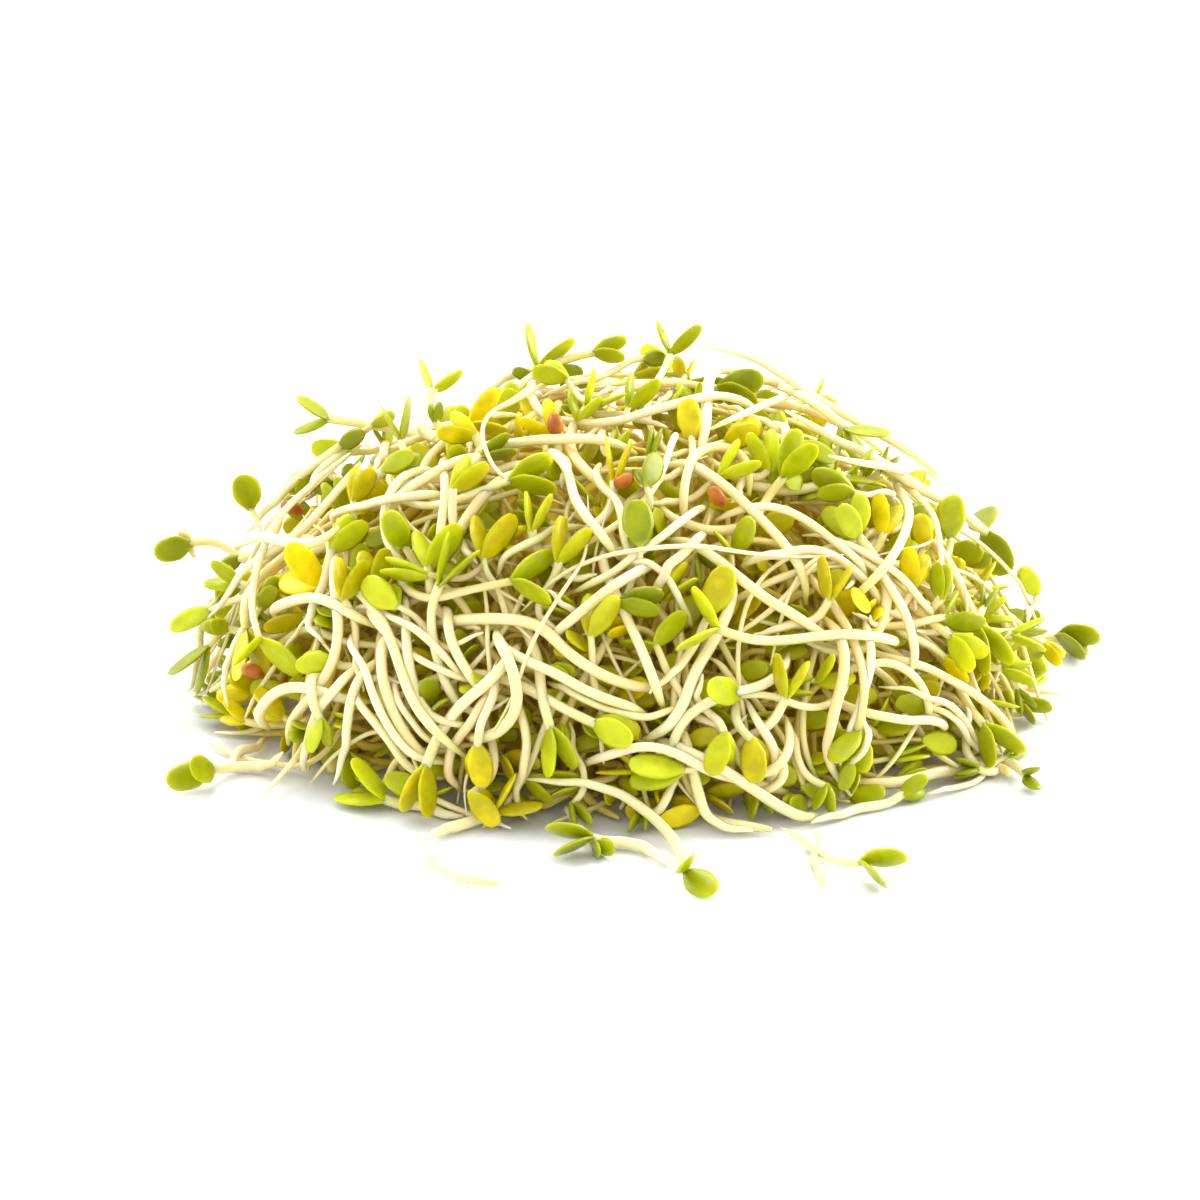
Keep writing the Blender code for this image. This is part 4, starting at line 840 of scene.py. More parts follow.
    def keep_lengths(self):
        first, second = self.link_ends.T
        step = self.points[second] - self.points[first]
        length = np.sqrt(dot(step, step))
        size = self.link_pull * 0.5 * (length - self.link_rest) / np.maximum(length, 1e-4)
        pull = size[:, None] * step
        self.start_shift()
        self.add_shift(first, pull)
        self.add_shift(second, -pull)
        self.count[:, 0] = sum(np.bincount(ends, minlength=len(self.points)) for ends in (first, second))
        self.apply_shift(LENGTH_STRENGTH)

    def keep_apart(self, a, b, apart):
        gaps = self.pair_gaps(a, b)
        close = gaps[3] < apart
        self.start_shift()
        self.push(*(part[close] for part in (a, b, *gaps, apart - gaps[3])))
        self.apply_shift(APART_STRENGTH)

    def keep_clinging(self):
        self.start_shift()
        for one, other in self.clings:
            a, b = self.stem_pairs(one, other)
            gaps = self.pair_gaps(a, b)
            best = np.array([int(gaps[3].argmin())])
            a, b, s, t, gap, distance = (part[best] for part in (a, b, *gaps))
            reach = CLING_SHARE * (self.piece_radius[a] + self.piece_radius[b])
            short = np.maximum(np.minimum(reach - distance, 0.0), -CLING_PULL)
            self.push(a, b, s, t, gap, distance, short)
        self.apply_shift(1.0)

    def keep_off_table_and_core(self):
        self.points[:, 2] = np.maximum(self.points[:, 2], self.floor)
        neck, one, two = (self.points[row] for row in self.leaf_rows)
        across = np.cross(one - neck, two - neck)
        tilt = np.abs(across[:, 2]) / np.maximum(np.sqrt(dot(across, across)), 1e-6)
        need = self.leaf_half_width * tilt + 0.5 * LEAF_THICKNESS * (1.0 - tilt) + TILTED_CLEARANCE
        for row in self.leaf_rows[1:]:
            lack = np.maximum(need - 0.5 * (neck[:, 2] + self.points[row, 2]), 0.0)
            self.points[row, 2] += lack
            self.points[self.leaf_rows[0], 2] += 0.5 * lack
        depth = np.zeros(len(self.points))
        for axis, size in enumerate(HEAP_SIZES):
            size = size * CORE_SHARE + self.thick + TUFT_GAP + CORE_CLEARANCE
            share = self.points[:, axis] / size
            depth += share * share
        inside = (depth < 1.0) & self.off_core
        self.points *= np.where(inside, 1.0 / np.sqrt(np.maximum(depth, 0.01)), 1.0)[:, None]

    def settle(self):
        self.floor, self.thick = np.zeros((2, len(self.points)))
        self.off_core = np.ones(len(self.points), bool)
        leafy = [each for each in self.strands if each["leaf"]]
        for each in self.strands:
            rows = np.arange(len(each["points"])) + each["first"]
            self.thick[rows] = each["radii"]
            self.floor[rows] = self.thick[rows] + STEM_CLEARANCE
            self.off_core[rows] = each["tuft"] != CORE
            if each["leaf"]:
                self.thick[each["tips"]] = 0.5 * LEAF_THICKNESS
                self.floor[each["tips"]] = 0.5 * LEAF_THICKNESS + LEAF_CLEARANCE
        rows = [(each["first"] + len(each["points"]) - 1, *each["tips"]) for each in leafy]
        self.leaf_rows = tuple(np.array(rows).T)
        self.leaf_half_width = np.array([0.5 * LEAF_WIDTH_SHARE * each["leaf"] for each in leafy])
        for turn in range(self.rounds):
            if turn in CLING_ROUNDS:
                self.clings = self.find_clings()
            if turn % NEIGHBOUR_ROUNDS == 0:
                pairs = self.near_pairs()
            slackening = HOME_PULL * max(0.0, 1.0 - HOME_FADE * turn / self.rounds)
            pull = np.where(self.held == 1.0, 1.0, self.held * slackening)
            self.points += pull * (self.home - self.points)
            self.keep_lengths()
            self.keep_clinging()
            self.keep_apart(*pairs)
            self.keep_off_table_and_core()
        for each in self.strands:
            line = self.points[each["first"]:each["first"] + len(each["points"])]
            each["points"] = [Vector(point) for point in line]
            if each["leaf"]:
                each["tips"] = [Vector(self.points[tip]) for tip in each["tips"]]


# The filling: sprouts of the heap that the solid model leaves out. They are laid
# by the same rules and squeezed in between the sprouts that are already there.


def way_out(across, away, up):
    """How far out points lie, squared, from 0 in the heap's middle to 1 outside."""
    across, away, up = (abs(part) / size for part, size in zip((across, away, up), HEAP_SIZES))
    return across * across + away * away + up ** (1.0 / HEAP_FULLNESS)


class PackingIn(Settling):
    """Fits more strands in between settled ones, which stay where they are."""

    rounds = FILL_SETTLE_ROUNDS

    def __init__(self, settled, filling):
        tips = [each["tips"] for each in settled if each["leaf"]]
        super().__init__(settled + filling)
        self.loose_piece = self.piece_strand >= len(settled)
        for each, ends in zip([each for each in settled if each["leaf"]], tips):
            self.points[each["tips"]] = [tuple(end) for end in ends]
        self.fixed = self.points.copy()
        self.loose = np.arange(len(self.points)) >= filling[0]["first"]
        self.limit = np.ones(len(self.points))
        for each in filling:
            self.limit[each["first"]:each["first"] + len(each["points"])] = each["limit"]
            if each["leaf"]:
                self.limit[each["tips"]] = each["limit"]

    def find_clings(self):
        return []

    def near_pairs(self):
        a, b, _ = super().near_pairs()
        keep = self.loose_piece[a] | self.loose_piece[b]
        a, b = a[keep], b[keep]
        return a, b, FILL_PACKING * (self.piece_radius[a] + self.piece_radius[b])

    def keep_off_table_and_core(self):
        super().keep_off_table_and_core()
        drawn_in = np.sqrt(self.limit / np.maximum(way_out(*self.points.T), 0.01))
        self.points *= np.minimum(drawn_in, 1.0)[:, None]
        self.points[:, 2] = np.maximum(self.points[:, 2], self.floor)
        self.points = np.where(self.loose[:, None], self.points, self.fixed)


def layer_point(angle, up, share):
    """A point of a layer of the heap, by its bearing and how high up it lies."""
    x, y = ring_point(share, math.sqrt(1.0 - up * up), angle)
    return Vector((x, y, heap_height(x, y, share)))


def spread_round(count, layers, step):
    """Bearings and heights spread evenly round the heap, each with a layer and a piece."""
    for number in range(count):
        up = FILL_ROUND[0] + (FILL_ROUND[1] - FILL_ROUND[0]) * (number + 0.5) / count
        yield piece_name(number), number * GOLDEN_ANGLE, up, layers[number * step % len(layers)]


def piece_name(number):
    return f"filling_{number % FILL_PIECES + 1:02d}"


def thinned(sprout, thickness):
    sprout["radii"] = [radius * thickness for radius in sprout["radii"]]


def fitted(rng, sprout, thickness, leaf):
    """A sprout trimmed to the heap and thinned, whose leaves show their faces."""
    sprout["limit"] = rng.uniform(*FILL_LIMITS)
    points = [point for point in sprout["points"] if way_out(*point) < sprout["limit"]]
    if len(points) < 4:
        return []
    sprout["points"] = evenly_spaced(points, POINTS_PER_SPROUT)
    thinned(sprout, thickness)
    sprout["tone"] = rng.choices(LEAF_TONES, LEAF_TONE_SHARES)[0] + rng.uniform(-0.05, 0.05)
    outward = (sprout["points"][-1] + HEART).normalized()
    sprout["side"] = outward + 0.6 * Vector(rng.uniform(-1.0, 1.0) for _ in range(3))
    sprout["leaf"] = leaf
    sprout["spread"] = math.radians(rng.uniform(*FILL_SPREADS))
    return [sprout]


def filling_stems(rng, count):
    """Long sprouts in layers from the matted core nearly to the outside."""
    made = []
    for name, angle, up, share in spread_round(count, STEM_LAYERS, 7):
        heading = math.radians(rng.uniform(-180.0, 180.0))
        if up < HEM_ROUND:
            heading = angle + math.pi * rng.randrange(2) + math.radians(rng.uniform(-HEM_TURN, HEM_TURN))
        crossing = layer_point(angle, up, share)[:2]
        sprout = wandering_sprout(rng, name, crossing, heading, share, 0.0)
        leafy = rng.random() < (STEM_LEAFY if up > HEM_ROUND else 0.5 * STEM_LEAFY)
        leaf = rng.uniform(*FILL_LEAVES) if leafy else 0.0
        made += fitted(rng, sprout, rng.uniform(*FILL_THICKNESS), leaf)
    return made


def filling_heads(rng, count):
    """Sprouts that rise out of the core and open their leaves just inside the heap."""
    made = []
    for name, angle, up, share in spread_round(count, HEAD_LAYERS, 5):
        head = layer_point(angle, up, share)
        foot = layer_point(angle + rng.uniform(-0.3, 0.3), up * rng.uniform(0.6, 1.0), CORE_SHARE)
        bow = layer_point(angle + rng.uniform(-0.3, 0.3), up, 0.5 * (share + CORE_SHARE))
        line = [foot.lerp(bow, place / 8).lerp(bow.lerp(head, place / 8), place / 8) for place in range(9)]
        sprout = whole_sprout(name, line, 0.0, 0.0, None, held=STRAND_HOLD)
        made += fitted(rng, sprout, rng.uniform(*FILL_THICKNESS), rng.uniform(*FILL_LEAVES))
    return made


def filling_threads(rng, count):
    """Thin bare roots that wind over the others on the outside."""
    made = []
    for name, angle, up, share in spread_round(count, THREAD_LAYERS, 1):
        heading = math.radians(rng.uniform(-180.0, 180.0))
        crossing = layer_point(angle, up, share)[:2]
        thread = wandering_sprout(rng, name, crossing, heading, share, 0.0)
        made += fitted(rng, thread, rng.uniform(*THREAD_THICKNESS), 0.0)
        thread["limit"] = FILL_LIMITS[1]
    return made


def spotted_strands(rng):
    """More bare stems and roots that show in the picture on the front."""
    made = []
    for number, pixels in enumerate(SPOTTED_STRANDS):
        line = [seen_at(pixel, 1.0) for pixel in pixels]
        points = on_table([tucked_end(line[0], line[1])] + line + [tucked_end(line[-1], line[-2])])
        radii = stem_radii(len(points), number % 2)
        made.append(strand(piece_name(number), points, radii, held=STRAND_HOLD))
        thinned(made[-1], rng.uniform(*SPOTTED_THICKNESS))
        made[-1]["limit"] = FILL_LIMITS[1]
    return made


def spotted_strays(rng):
    """More sprouts that lie on the table, thinner than those of the solid model."""
    made = []
    for number, (leaf, tone, pixels) in enumerate(SPOTTED_STRAYS):
        line = [seen_at(pixel, ON_TABLE) for pixel in pixels]
        upward = Vector((rng.uniform(-0.5, 0.5), 0.0, 1.0)).normalized()
        spread = rng.uniform(*STRAY_SPREADS)
        made.append(whole_sprout(piece_name(number), line, leaf, spread, upward, held=STRAND_HOLD))
        thinned(made[-1], FILL_THICKNESS[1])
        made[-1].update(tone=tone, limit=STRAY_LIMIT)
    return made


def spotted_heads(rng):
    """More pairs of seed leaves that show in the picture, on stems of their own."""
    made = []
    for number, (x, y, pointing, leaf, showing, spread, tone) in enumerate(SPOTTED_HEADS):
        sprout = head_at(rng, piece_name(number), (x, y), pointing, leaf, showing, spread)
        sprout["points"] = evenly_spaced(sprout["points"][SPOTTED_CUT:], POINTS_PER_SPROUT)
        thinned(sprout, rng.uniform(*SPOTTED_THICKNESS))
        sprout.update(tone=tone, limit=FILL_LIMITS[1])
        made.append(sprout)
    return made


@functools.lru_cache(maxsize=1)
def settled_strands():
    """The strands of the solid model, settled as there, with the tones of their leaves."""
    strands = all_strands()
    rng = random.Random(LOOK_SEED)
    for each in strands:
        tone = rng.choices(LEAF_TONES, LEAF_TONE_SHARES)[0]
        each.update(tone=each.get("seen_tone", tone), thick=rng.uniform(*STRAND_THICKNESS))
    Settling(strands).settle()
    return strands


@functools.lru_cache(maxsize=1)
def settled_filling(stems, heads, threads):
    """The sprouts that fill the heap, fitted in between the settled strands."""
    rng = random.Random(LOOK_SEED + 1)
    filling = spotted_heads(rng) + spotted_strands(rng) + spotted_strays(rng)
    filling += filling_stems(rng, stems) + filling_heads(rng, heads) + filling_threads(rng, threads)
    PackingIn(settled_strands(), filling).settle()
    return filling


# Modelling.


def linear(shade):
    """A colour given as sRGB hex, as linear red, green and blue."""
    parts = (int(shade[place:place + 2], 16) / 255.0 for place in (1, 3, 5))
    return [part / 12.92 if part <= 0.04045 else ((part + 0.055) / 1.055) ** 2.4 for part in parts]


def add_ball(name, around, bands, radius=0.5):
    bpy.ops.object.select_all(action="DESELECT")
    bpy.ops.mesh.primitive_uv_sphere_add(segments=around, ring_count=bands, radius=radius)
    ball = bpy.context.object
    ball.name = ball.data.name = name
    return ball


def link(name, data):
    made = bpy.data.objects.new(name, data)
    bpy.context.scene.collection.objects.link(made)
    return made


def select_only(objects):
    bpy.ops.object.select_all(action="DESELECT")
    for obj in objects:
        obj.select_set(True)
    bpy.context.view_layer.objects.active = objects[0]


def edit_all():
    bpy.ops.object.mode_set(mode="EDIT")
    bpy.ops.mesh.select_all(action="SELECT")


def select_verts(obj, test):
    """Selects the vertices that pass a test and leaves the object in edit mode."""
    bpy.ops.object.mode_set(mode="EDIT")
    bpy.ops.mesh.select_all(action="DESELECT")
    bpy.ops.object.mode_set(mode="OBJECT")
    for spot in obj.data.vertices:
        spot.select = test(spot.co)
    bpy.ops.object.mode_set(mode="EDIT")


def finish_edit():
    bpy.ops.object.mode_set(mode="OBJECT")
    bpy.ops.object.shade_smooth()


def paint(mesh, name, values):
    """Gives the vertices their values of a named attribute, or all of them the same."""
    layer = mesh.attributes.get(name) or mesh.attributes.new(name, "FLOAT", "POINT")
    layer.data.foreach_set("value", np.broadcast_to(np.float32(values), len(mesh.vertices)))


def paint_shade_depth(mesh):
    """Marks how deep each vertex lies in the heap, from 0 outside to 1 at the core, for the painted shade
    inside the heap.
    """
    places = np.empty(3 * len(mesh.vertices), np.float32)
    mesh.vertices.foreach_get("co", places)
    out = np.sqrt(way_out(*(places.reshape(-1, 3) / MM).T))
    paint(mesh, "depth", np.clip((1.0 - out) / PAINTED_SHADE_SPAN, 0.0, 1.0))


def fine_line(each, rng, wave):
    """A strand's points with one more between each two, and a root that wavers."""
    radii = each["radii"]
    last = len(radii) - 1
    points = [point.copy() for point in each["points"]]
    for place in range(1, last):
        middle = 0.5 * (each["points"][place - 1] + each["points"][place + 1])
        points[place] = points[place].lerp(middle, SMOOTHING)
    line, widths = [], []
    for place in range(last):
        before, after = points[max(place - 1, 0)], points[min(place + 2, last)]
        middle = (points[place] + points[place + 1]) * 0.5625 - (before + after) * 0.0625
        line += [points[place].copy(), middle]
        widths += [radii[place], 0.5 * (radii[place] + radii[place + 1])]
    line.append(points[-1].copy())
    widths.append(radii[-1])
    rooted = radii[0] < 0.8 * STEM_RADIUS
    for place in range(1, len(line) - 1):
        along = place / (len(line) - 1)
        sway = wave if rooted and along < ROOT_SHARE else STEM_WAVE * wave
        line[place] += Vector(rng.uniform(-sway, sway) for _ in range(3))
        line[place].z = max(line[place].z, widths[place])
    for first, second in ((0, 1),) if each["leaf"] else ((0, 1), (-1, -2)):
        widths[first] *= 0.45
        widths[second] *= 0.8
    low, high = (Vector(corner) / MM for corner in CAD_BOX)
    for point, width in zip(line, widths):
        for axis in range(3):
            point[axis] = min(max(point[axis], low[axis] + width), high[axis] - width)
    return line, widths


def stem_curve(name, each, rng, look, wave, finish):
    """A round stem as a smooth curve with a bevel."""
    line, widths = fine_line(each, rng, wave)
    curve = bpy.data.curves.new(name, "CURVE")
    curve.dimensions = "3D"
    curve.bevel_depth = MM
    curve.bevel_resolution, along = finish
    curve.use_fill_caps = True
    spline = curve.splines.new("NURBS")
    spline.points.add(len(line) - 1)
    spline.order_u = 4
    spline.use_endpoint_u = True
    spline.resolution_u = along
    for spot, point, width in zip(spline.points, line, widths):
        spot.co = (*(point * MM), 1.0)
        spot.radius = width * each.get("thick", 1.0) * rng.uniform(0.96, 1.04)
    curve.materials.append(look)
    return link(name, curve)


def leaf_outline(share):
    """Half the width of a seed leaf of width 2, from its stalk to its round tip."""
    if share < LEAF_WIDEST:
        return LEAF_STALK + (1.0 - LEAF_STALK) * math.sin(0.5 * math.pi * share / LEAF_WIDEST) ** 1.2
    return (1.0 - ((share - LEAF_WIDEST) / (1.0 - LEAF_WIDEST)) ** 2.5) ** 0.42


@functools.lru_cache(maxsize=2)
def seed_leaf(fine):
    """The leaf that all others are copies of, finer for those in full view.

    It has length, width and thickness 1, and its inner face is at +X. It starts as
    a ball. Each ring is drawn in to the leaf's outline, from a narrow stalk to a
    round tip. The inner face is pressed flat and dished, and each ring is moved
    back so that the leaf curls outwards.
    """
    around, bands = LEAF_FINISHES[not fine]
    leaf = add_ball(f"seed_leaf_{around}", around, bands)
    heights = [-0.5 * math.cos(math.pi * ring / bands) for ring in range(1, bands)]
    for ring, height in enumerate(heights, 1):
        share = height + 0.5
        across = math.sin(math.pi * ring / bands)
        thick = max(math.sin(math.pi * share ** 0.75) ** 0.45, LEAF_STALK * 1.4)
        select_verts(leaf, lambda co: abs(co.z - height) < 0.01)
        value = (thick / across, leaf_outline(share) / across, 1.0)
        bpy.ops.transform.resize(value=value, center_override=(0.0, 0.0, height))
    select_verts(leaf, lambda co: co.x > 0.02)
    bpy.ops.transform.resize(value=(0.25, 1.0, 1.0), center_override=(0.0, 0.0, 0.0))
    for height in heights:
        select_verts(leaf, lambda co: abs(co.z - height) < 0.01 and co.x > 0.02 and abs(co.y) < 0.2)
        bpy.ops.transform.translate(value=(-LEAF_DISH * math.sin(math.pi * (height + 0.5)), 0.0, 0.0))
    for height in (*heights, 0.5):
        select_verts(leaf, lambda co: abs(co.z - height) < 0.005)
        bpy.ops.transform.translate(value=(-LEAF_CURL * (height + 0.5) ** 2, 0.0, 0.0))
    bpy.ops.mesh.select_all(action="SELECT")
    bpy.ops.transform.translate(value=(0.0, 0.0, 0.5))
    finish_edit()
    leaf.data.materials.append(leaf_flesh(fine))
    paint(leaf.data, "tone", 0.0)
    leaf.users_collection[0].objects.unlink(leaf)
    return leaf


def way_inside(mesh):
    """How far a part has to move to lie within the solid model's bounds."""
    shift = []
    for low, high, parts in zip(*CAD_BOX, zip(*(spot.co for spot in mesh.vertices))):
        shift.append(max(low - min(parts), 0.0) + min(high - max(parts), 0.0))
    return Vector(shift)


def leaf_pair(name, each, master, rng):
    """The two seed leaves of a sprout, face to face like an opened book."""
    neck = each["points"][-1]
    made = []
    first, second = (tip - neck for tip in each["tips"])
    for number, (own, other) in enumerate(((first, second), (second, first))):
        along = own.normalized()
        facing = (along * other.dot(along) - other).normalized()
        across = facing.cross(along).normalized()
        length = own.length * rng.uniform(*LEAF_VARIATION) + LEAF_SINK
        width = own.length * LEAF_WIDTH_SHARE * rng.uniform(*LEAF_BREADTH)
        place = Matrix((facing * LEAF_BODY, -across * width, along * length)).transposed().to_4x4()
        start = neck - along * LEAF_SINK + facing * LEAF_PARTING
        mesh = master.data.copy()
        mesh.transform(Matrix.Scale(MM, 4) @ Matrix.Translation(start) @ place)
        mesh.transform(Matrix.Translation(way_inside(mesh)))
        paint(mesh, "tone", min(max(each["tone"] + rng.uniform(-0.06, 0.06), 0.0), 1.0))
        made.append(link(f"{name}_leaf_{number}", mesh))
    return made


def grow(name, strands, extra=(), fine=True):
    """One piece out of the stems and seed leaves of several sprouts."""
    wave = bpy.context.scene.sprout_sizes.root_wave / MM
    rng = random.Random(name)
    stems = []
    for number, each in enumerate(strands):
        look, finish = stem_flesh(fine), STEM_FINISHES[not fine]
        stems.append(stem_curve(f"{name}_{number}", each, rng, look, wave, finish))
    select_only(stems)
    bpy.ops.object.convert(target="MESH")
    made = list(extra)
    for each, stem in zip(strands, stems):
        paint(stem.data, "tone", rng.random())
        made.append(stem)
        if each["leaf"]:
            made += leaf_pair(stem.name, each, seed_leaf(fine), rng)
    select_only(made)
    if len(made) > 1:
        bpy.ops.object.join()
    piece = bpy.context.view_layer.objects.active
    piece.name = piece.data.name = name
    edit_all()
    bpy.ops.mesh.remove_doubles(threshold=0.001 * MM)
    bpy.ops.mesh.normals_make_consistent(inside=False)
    finish_edit()
    paint_shade_depth(piece.data)
    return piece


# Materials.


def add_node(tree, kind, settings=(), links=(), stops=()):
    """Adds a shader node with its settings, what its inputs take, and a ramp's stops."""
    node = tree.nodes.new(kind)
    for name, value in dict(settings).items():
        if isinstance(name, str) and hasattr(node, name):
            setattr(node, name, value)
        else:
            node.inputs[name].default_value = value
    for name, socket in dict(links).items():
        tree.links.new(socket, node.inputs[name])
    if stops:
        for _ in stops[2:]:
            node.color_ramp.elements.new(0.5)
        for element, (place, colour) in zip(node.color_ramp.elements, stops):
            element.position = place
            element.color = (*colour, 1.0)
    return node


def new_surface(name, settings):
    """A material with only a shader of the given settings, and its nodes."""
    made = bpy.data.materials.new(name)
    made.use_nodes = True
    for socket, value in settings.items():
        made.node_tree.nodes["Principled BSDF"].inputs[socket].default_value = value
    return made, made.node_tree


def finish_surface(tree, colour, height, strength, depth):
    """Gives a material its colour and its bumps, whose depth is in millimetres."""
    shader = tree.nodes["Principled BSDF"]
    tree.links.new(colour, shader.inputs["Base Color"])
    settings = {"Strength": strength, "Distance": depth * MM}
    bump = add_node(tree, "ShaderNodeBump", settings, {"Height": height})
    tree.links.new(bump.outputs[0], shader.inputs["Normal"])


def painted_inner_shade(tree, share, colour, inner_shade_colour):
    """Painted shade: a colour that turns into a shade colour, up to a share, towards the heap's core."""
    depth = add_node(tree, "ShaderNodeAttribute", {"attribute_name": "depth"})
    shade_share = add_node(tree, "ShaderNodeMath", {"operation": "MULTIPLY", 1: share}, {0: depth.outputs["Fac"]})
    settings = {"data_type": "RGBA", 7: (*inner_shade_colour, 1.0)}
    return add_node(tree, "ShaderNodeMix", settings, {0: shade_share.outputs[0], 6: colour}).outputs[2]


@functools.lru_cache(maxsize=2)
def stem_flesh(outer):
    """Wet sprout stem: watery flesh under a thin clear skin.

    Light passes into it and comes out warm, so thin stems glow. Stems deep in the
    heap are painted darker and yellower, as painted shade. The root end is nearly
    white and the end at the leaves is greenish. The mottles are about 4 mm wide, and
    the fine ridges 0.7 mm apart.
    """
    tints = bpy.context.scene.sprout_tints
    made, tree = new_surface("sprout_stem_flesh" if outer else "inner_stem_flesh", {
        "Roughness": 0.32,
        "Specular IOR Level": 0.35,
        "Subsurface Weight": 0.8 if outer else INNER_GLOW,
        "Subsurface Radius": (1.0, 0.85, 0.45),
        "Subsurface Scale": 0.8 * MM,
        "Coat Weight": 0.08,
        "Coat Roughness": 0.15,
    })
    place = add_node(tree, "ShaderNodeTexCoord").outputs["Object"]
    flat = add_node(tree, "ShaderNodeUVMap").outputs[0]
    along = add_node(tree, "ShaderNodeSeparateXYZ", links={0: flat})
    stops = ((0.0, tints.root), (0.4, tints.stem), (0.86, tints.stem), (1.0, tints.neck))
    grown = add_node(tree, "ShaderNodeValToRGB", links={0: along.outputs[0]}, stops=stops)
    mottle = add_node(tree, "ShaderNodeTexNoise", {"Scale": 260.0, "Detail": 3.0}, {"Vector": place})
    share = add_node(tree, "ShaderNodeMapRange", {1: 0.45, 2: 0.75, 3: 0.0, 4: 0.55}, {0: mottle.outputs[0]})
    settings = {"data_type": "RGBA", 7: (*tints.stem_shade, 1.0)}
    shaded = add_node(tree, "ShaderNodeMix", settings, {0: share.outputs[0], 6: grown.outputs[0]})
    tone = add_node(tree, "ShaderNodeAttribute", {"attribute_name": "tone"})
    stops = ((0.0, tints.rosy_stem), (0.3, tints.stem), (0.7, tints.root), (1.0, tints.green_stem))
    kind = add_node(tree, "ShaderNodeValToRGB", links={0: tone.outputs["Fac"]}, stops=stops)
    links = {6: shaded.outputs[2], 7: kind.outputs[0]}
    colour = add_node(tree, "ShaderNodeMix", {"data_type": "RGBA", 0: 0.5}, links).outputs[2]
    ridges = add_node(tree, "ShaderNodeTexNoise", {"Scale": 1400.0, "Detail": 2.0}, {"Vector": place})
    # Painted shade: towards the heap's core the stem's colour turns to the inner stem shade tint.
    finish_surface(tree, painted_inner_shade(tree, 0.9, colour, tints.inner_stem_shade), ridges.outputs[0], 0.25, 0.05)
    return made


@functools.lru_cache(maxsize=2)
def leaf_flesh(outer):
    """Seed leaf: plump and waxy, from dark green through olive to bright yellow.

    It is smooth and slightly glossy, and paler where it narrows into its stalk, with
    faint mottles about 2.4 mm wide where the young green comes in. Its grain is
    about 0.5 mm wide, which is coarser than a real leaf's, so that it shows.
    """
    tints = bpy.context.scene.sprout_tints
    made, tree = new_surface("seed_leaf_flesh" if outer else "inner_leaf_flesh", {
        "Roughness": 0.35,
        "Specular IOR Level": 0.2,
        "Subsurface Weight": 0.6 if outer else INNER_GLOW,
        "Subsurface Radius": (1.0, 0.95, 0.12),
        "Subsurface Scale": 1.0 * MM,
        "Coat Weight": 0.1,
        "Coat Roughness": 0.15,
    })
    tone = add_node(tree, "ShaderNodeAttribute", {"attribute_name": "tone"})
    place = add_node(tree, "ShaderNodeTexCoord").outputs["Object"]
    mottle = add_node(tree, "ShaderNodeTexNoise", {"Scale": 420.0, "Detail": 4.0}, {"Vector": place})
    shift = add_node(tree, "ShaderNodeMapRange", {1: 0.3, 2: 0.7, 3: -0.12, 4: 0.12}, {0: mottle.outputs[0]})
    links = {0: tone.outputs["Fac"], 1: shift.outputs[0]}
    moved = add_node(tree, "ShaderNodeMath", {"operation": "ADD"}, links)
    stops = (
        (0.0, tints.dark_leaf), (0.35, tints.green_leaf), (0.6, tints.young_leaf),
        (0.8, tints.olive_leaf), (1.0, tints.yellow_leaf),
    )
    ripened = add_node(tree, "ShaderNodeValToRGB", links={0: moved.outputs[0]}, stops=stops)
    flat = add_node(tree, "ShaderNodeUVMap").outputs[0]
    along = add_node(tree, "ShaderNodeSeparateXYZ", links={0: flat})
    stalk = add_node(tree, "ShaderNodeMapRange", {1: 0.0, 2: 0.22, 3: 0.8, 4: 0.0}, {0: along.outputs[1]})
    settings = {"data_type": "RGBA", 7: (*tints.neck, 1.0)}
    links = {0: stalk.outputs[0], 6: ripened.outputs[0]}
    colour = add_node(tree, "ShaderNodeMix", settings, links).outputs[2]
    fine = add_node(tree, "ShaderNodeTexNoise", {"Scale": 2200.0, "Detail": 2.0}, {"Vector": place})
    # Painted shade: towards the heap's core the leaf's colour turns to the inner leaf shade tint.
    finish_surface(tree, painted_inner_shade(tree, 0.5, colour, tints.inner_leaf_shade), fine.outputs[0], 0.2, 0.05)
    return made


@functools.lru_cache(maxsize=1)
def husk():
    """Seed coat: a thin dry husk, orange-brown, smooth with a soft shine.

    Its patches are about 1.5 mm wide.
    """
    tints = bpy.context.scene.sprout_tints
    made, tree = new_surface("seed_husk", {
        "Roughness": 0.4, "Specular IOR Level": 0.3, "Coat Weight": 0.15, "Coat Roughness": 0.2,
    })
    place = add_node(tree, "ShaderNodeTexCoord").outputs["Object"]
    settings = {"Scale": 650.0, "Detail": 4.0}
    patches = add_node(tree, "ShaderNodeTexNoise", settings, {"Vector": place}).outputs[0]
    stops = ((0.3, tints.husk_shade), (0.6, tints.husk), (0.8, tints.husk_light))
    colour = add_node(tree, "ShaderNodeValToRGB", links={0: patches}, stops=stops)
    finish_surface(tree, colour.outputs[0], patches, 0.3, 0.06)
    return made


